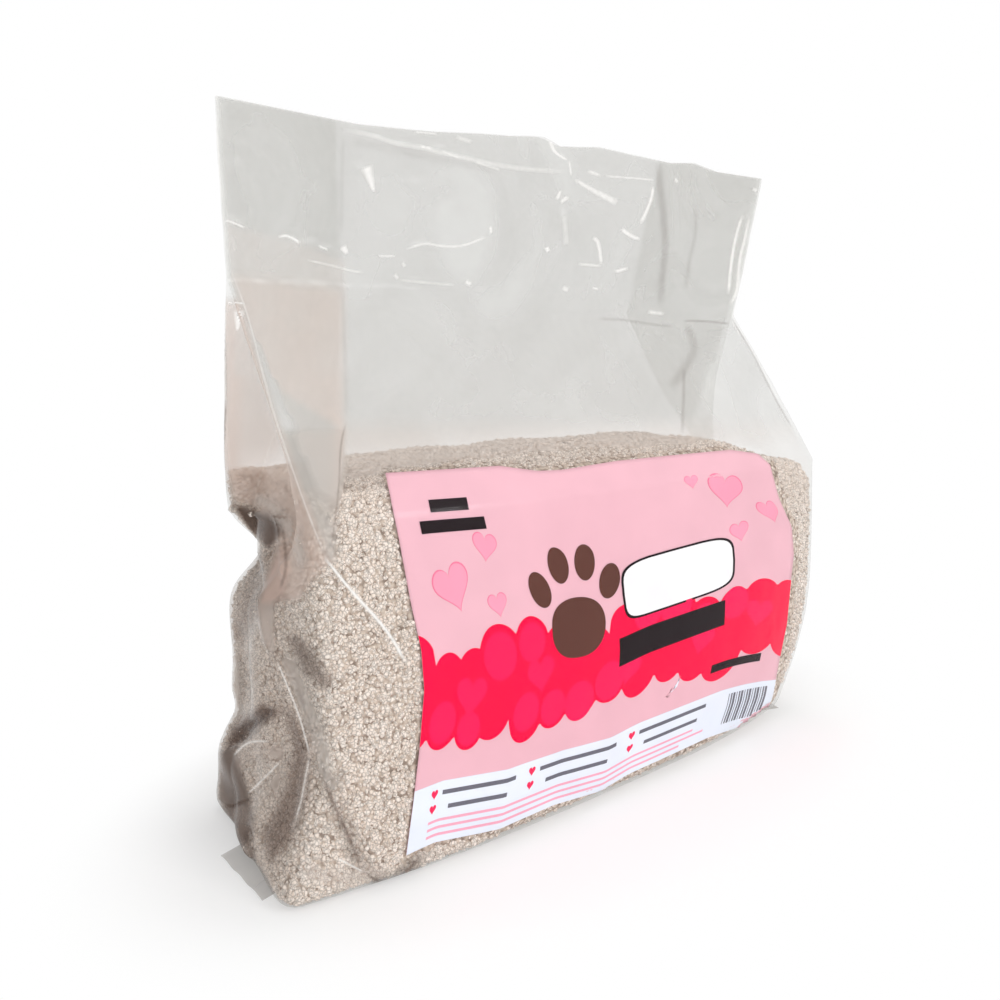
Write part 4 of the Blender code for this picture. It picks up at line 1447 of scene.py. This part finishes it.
def print_figures(face):
    """Plain figures in the middle: a brown paw, a white plate with a dark edge, and dark bars."""
    brown = Ink(face, 3)
    brown.disc(112, 92, oval_shape(1.0, 0.82, 2.3), 19)
    for x, y, turn in ((88, 113, 0.45), (103, 125, 0.15), (121, 125, -0.15), (136, 113, -0.45)):
        brown.disc(x, y, oval_shape(0.72, 1.0), 9.5, turn)
    brown.finish("brown paw", "5E3A32")
    edge = Ink(face, 3)
    edge.disc(184, 106, oval_shape(1.0, 0.40, 5.0), 40, 0.06, 9)
    edge.bar(180, 76, 78, 15, 0.05)
    edge.bar(38, 158, 26, 6.0)
    edge.bar(38, 148, 44, 6.0)
    edge.bar(233, 45, 36, 5.0)
    edge.finish("dark plate", "1E1418")
    white = Ink(face, 4)
    white.disc(184, 106, oval_shape(1.0, 0.385, 5.0), 38.5, 0.06, 9)
    white.finish("white plate", "F1EEF1")


class OBJECT_OT_litter_sheet(bpy.types.Operator):
    """Build the printed sheet behind the front film"""

    bl_idname = "object.litter_sheet"
    bl_label = "Printed sheet"

    def execute(self, context):
        settings = context.scene.litter_sheet
        grid = sheet_grid(SHEET_DEPTH)
        sheet = grid_mesh("printed_sheet", grid, closed=False)
        wall = sheet.modifiers.new("paper", "SOLIDIFY")
        wall.thickness = settings.thickness
        wall.offset = -1.0
        paper = paper_material("coated paper, pink field", settings.field_colour)
        finish_piece(sheet, "label", "label_sheet", paper)
        face = Print(grid)
        rng = np.random.default_rng(5)
        print_strip(face)
        print_band(face, rng)
        print_hearts(face)
        print_figures(face)
        return {"FINISHED"}


class OBJECT_OT_litter_stage(bpy.types.Operator):
    """Build the floor, the lights and the camera"""

    bl_idname = "object.litter_stage"
    bl_label = "Stage"

    def execute(self, context):
        make_floor()
        make_lights()
        make_camera()
        return {"FINISHED"}


def background_share(tree):
    """Socket that is 1 for rays that show the background: straight to the camera, mirrored or refracted."""
    path = add_node(tree, "ShaderNodeLightPath")
    share = path.outputs["Is Camera Ray"]
    for kind in ("Is Glossy Ray", "Is Transmission Ray"):
        share = worked_out(tree, "MAXIMUM", share, path.outputs[kind])
    return share


def make_floor():
    """Plain white floor: it takes the bag's shadow near the bag and turns to even white further off."""
    bm = bmesh.new()
    bmesh.ops.create_grid(bm, x_segments=1, y_segments=1, size=6.0)
    mesh = bpy.data.meshes.new("floor")
    bm.to_mesh(mesh)
    bm.free()
    floor = link("floor", mesh)
    material, tree = new_material("white studio floor")
    place = add_node(tree, "ShaderNodeTexCoord")
    oval = add_node(tree, "ShaderNodeVectorMath", {"operation": "MULTIPLY"},
                    {0: place.outputs["Object"], 1: (1.0, 1.7, 1.0)})
    away = add_node(tree, "ShaderNodeVectorMath", {"operation": "LENGTH"}, {0: oval.outputs[0]})
    far = add_node(tree, "ShaderNodeMapRange", {"interpolation_type": "SMOOTHSTEP"},
                   {"Value": away.outputs["Value"], "From Min": 0.19, "From Max": 0.27, "To Min": 0.4})
    share = worked_out(tree, "MULTIPLY", far.outputs[0], background_share(tree))
    body = shader(tree, "BsdfDiffuse", FLOOR_COLOUR)
    white = shader(tree, "Emission", WHITE, Strength=1.0)
    finish_material(material, shader_mix(tree, share, body, white))
    floor.data.materials.append(material)


# Soft lamps: name, place, height of the point they are aimed at, size and power
LAMPS = (
    ("key", (0.7, -1.8, 1.5), 0.12, (0.9, 0.9), 19),
    ("front_fill", (-0.3, -1.9, 0.4), 0.10, (1.0, 0.8), 8),
    ("left_fill", (-1.7, -0.6, 0.9), 0.10, (1.0, 1.0), 6.5),
    ("top", (0.3, 0.2, 1.6), 0.15, (0.8, 0.5), 6),
)
# Strength of the world's light on the bag; where it shows, it is white
WORLD_FILL = 0.55


def make_lights():
    """Large soft lamps above and beside the bag, and a white world that the camera sees."""
    for name, place, aim, size, power in LAMPS:
        data = bpy.data.lights.new(name, "AREA")
        data.shape = "RECTANGLE"
        data.size, data.size_y = size
        data.energy = power
        lamp = bpy.data.objects.new(name, data)
        bpy.context.scene.collection.objects.link(lamp)
        lamp.location = place
        lamp.rotation_euler = (Vector((0, 0, aim)) - Vector(place)).to_track_quat("-Z", "Y").to_euler()
    world = bpy.data.worlds.new("white studio")
    bpy.context.scene.world = world
    world.use_nodes = True
    tree = world.node_tree
    tree.nodes.clear()
    fill = shader(tree, "Background", WHITE, Strength=WORLD_FILL)
    seen = shader(tree, "Background", WHITE, Strength=1.0)
    whole = shader_mix(tree, background_share(tree), fill, seen)
    add_node(tree, "ShaderNodeOutputWorld", None, {"Surface": whole})
    bpy.context.scene.view_settings.view_transform = "Standard"


def make_camera():
    """Camera at the photograph's angle."""
    stage = bpy.context.scene.litter_stage
    data = bpy.data.cameras.new("camera")
    data.sensor_width = 36.0
    data.lens = stage.focal_px / IMAGE_SIDE * data.sensor_width
    data.clip_start = 0.01
    camera = bpy.data.objects.new("camera", data)
    camera.location = CAMERA_PLACE
    camera.rotation_euler = Euler((math.pi / 2 - stage.pitch, 0.0, -stage.azimuth))
    bpy.context.scene.collection.objects.link(camera)
    bpy.context.scene.camera = camera


class VIEW3D_PT_litter_bag(bpy.types.Panel):
    """Lists the pieces in the sidebar"""

    bl_label = "Litter Bag"
    bl_idname = "VIEW3D_PT_litter_bag"
    bl_space_type = "VIEW_3D"
    bl_region_type = "UI"
    bl_category = "Litter Bag"

    def draw(self, context):
        layout = self.layout
        for group in ("litter_bag", "litter_grain", "litter_sheet", "litter_stage"):
            settings = getattr(context.scene, group)
            for key in settings.bl_rna.properties.keys():
                if key not in {"rna_type", "name"}:
                    layout.prop(settings, key)
        for piece in PIECES:
            layout.operator(piece.bl_idname)


PIECES = (OBJECT_OT_litter_stage, OBJECT_OT_litter_film, OBJECT_OT_litter_fill, OBJECT_OT_litter_sheet)
GROUPS = {
    "litter_bag": BagSettings,
    "litter_grain": LitterSettings,
    "litter_sheet": SheetSettings,
    "litter_stage": StageSettings,
}


def register():
    """Registers the classes and puts the settings on the scene."""
    for group, settings in GROUPS.items():
        bpy.utils.register_class(settings)
        setattr(bpy.types.Scene, group, bpy.props.PointerProperty(type=settings))
    for item in (*PIECES, VIEW3D_PT_litter_bag):
        bpy.utils.register_class(item)


def unregister():
    """Takes the settings and the classes away again."""
    for item in (VIEW3D_PT_litter_bag, *PIECES[::-1]):
        bpy.utils.unregister_class(item)
    for group, settings in GROUPS.items():
        delattr(bpy.types.Scene, group)
        bpy.utils.unregister_class(settings)


def main():
    """Builds the whole scene around the CAD model."""
    register()
    bpy.ops.object.litter_stage()
    bpy.ops.object.litter_film()
    bpy.ops.object.litter_fill()
    bpy.ops.object.litter_sheet()


if __name__ == "__main__":
    main()
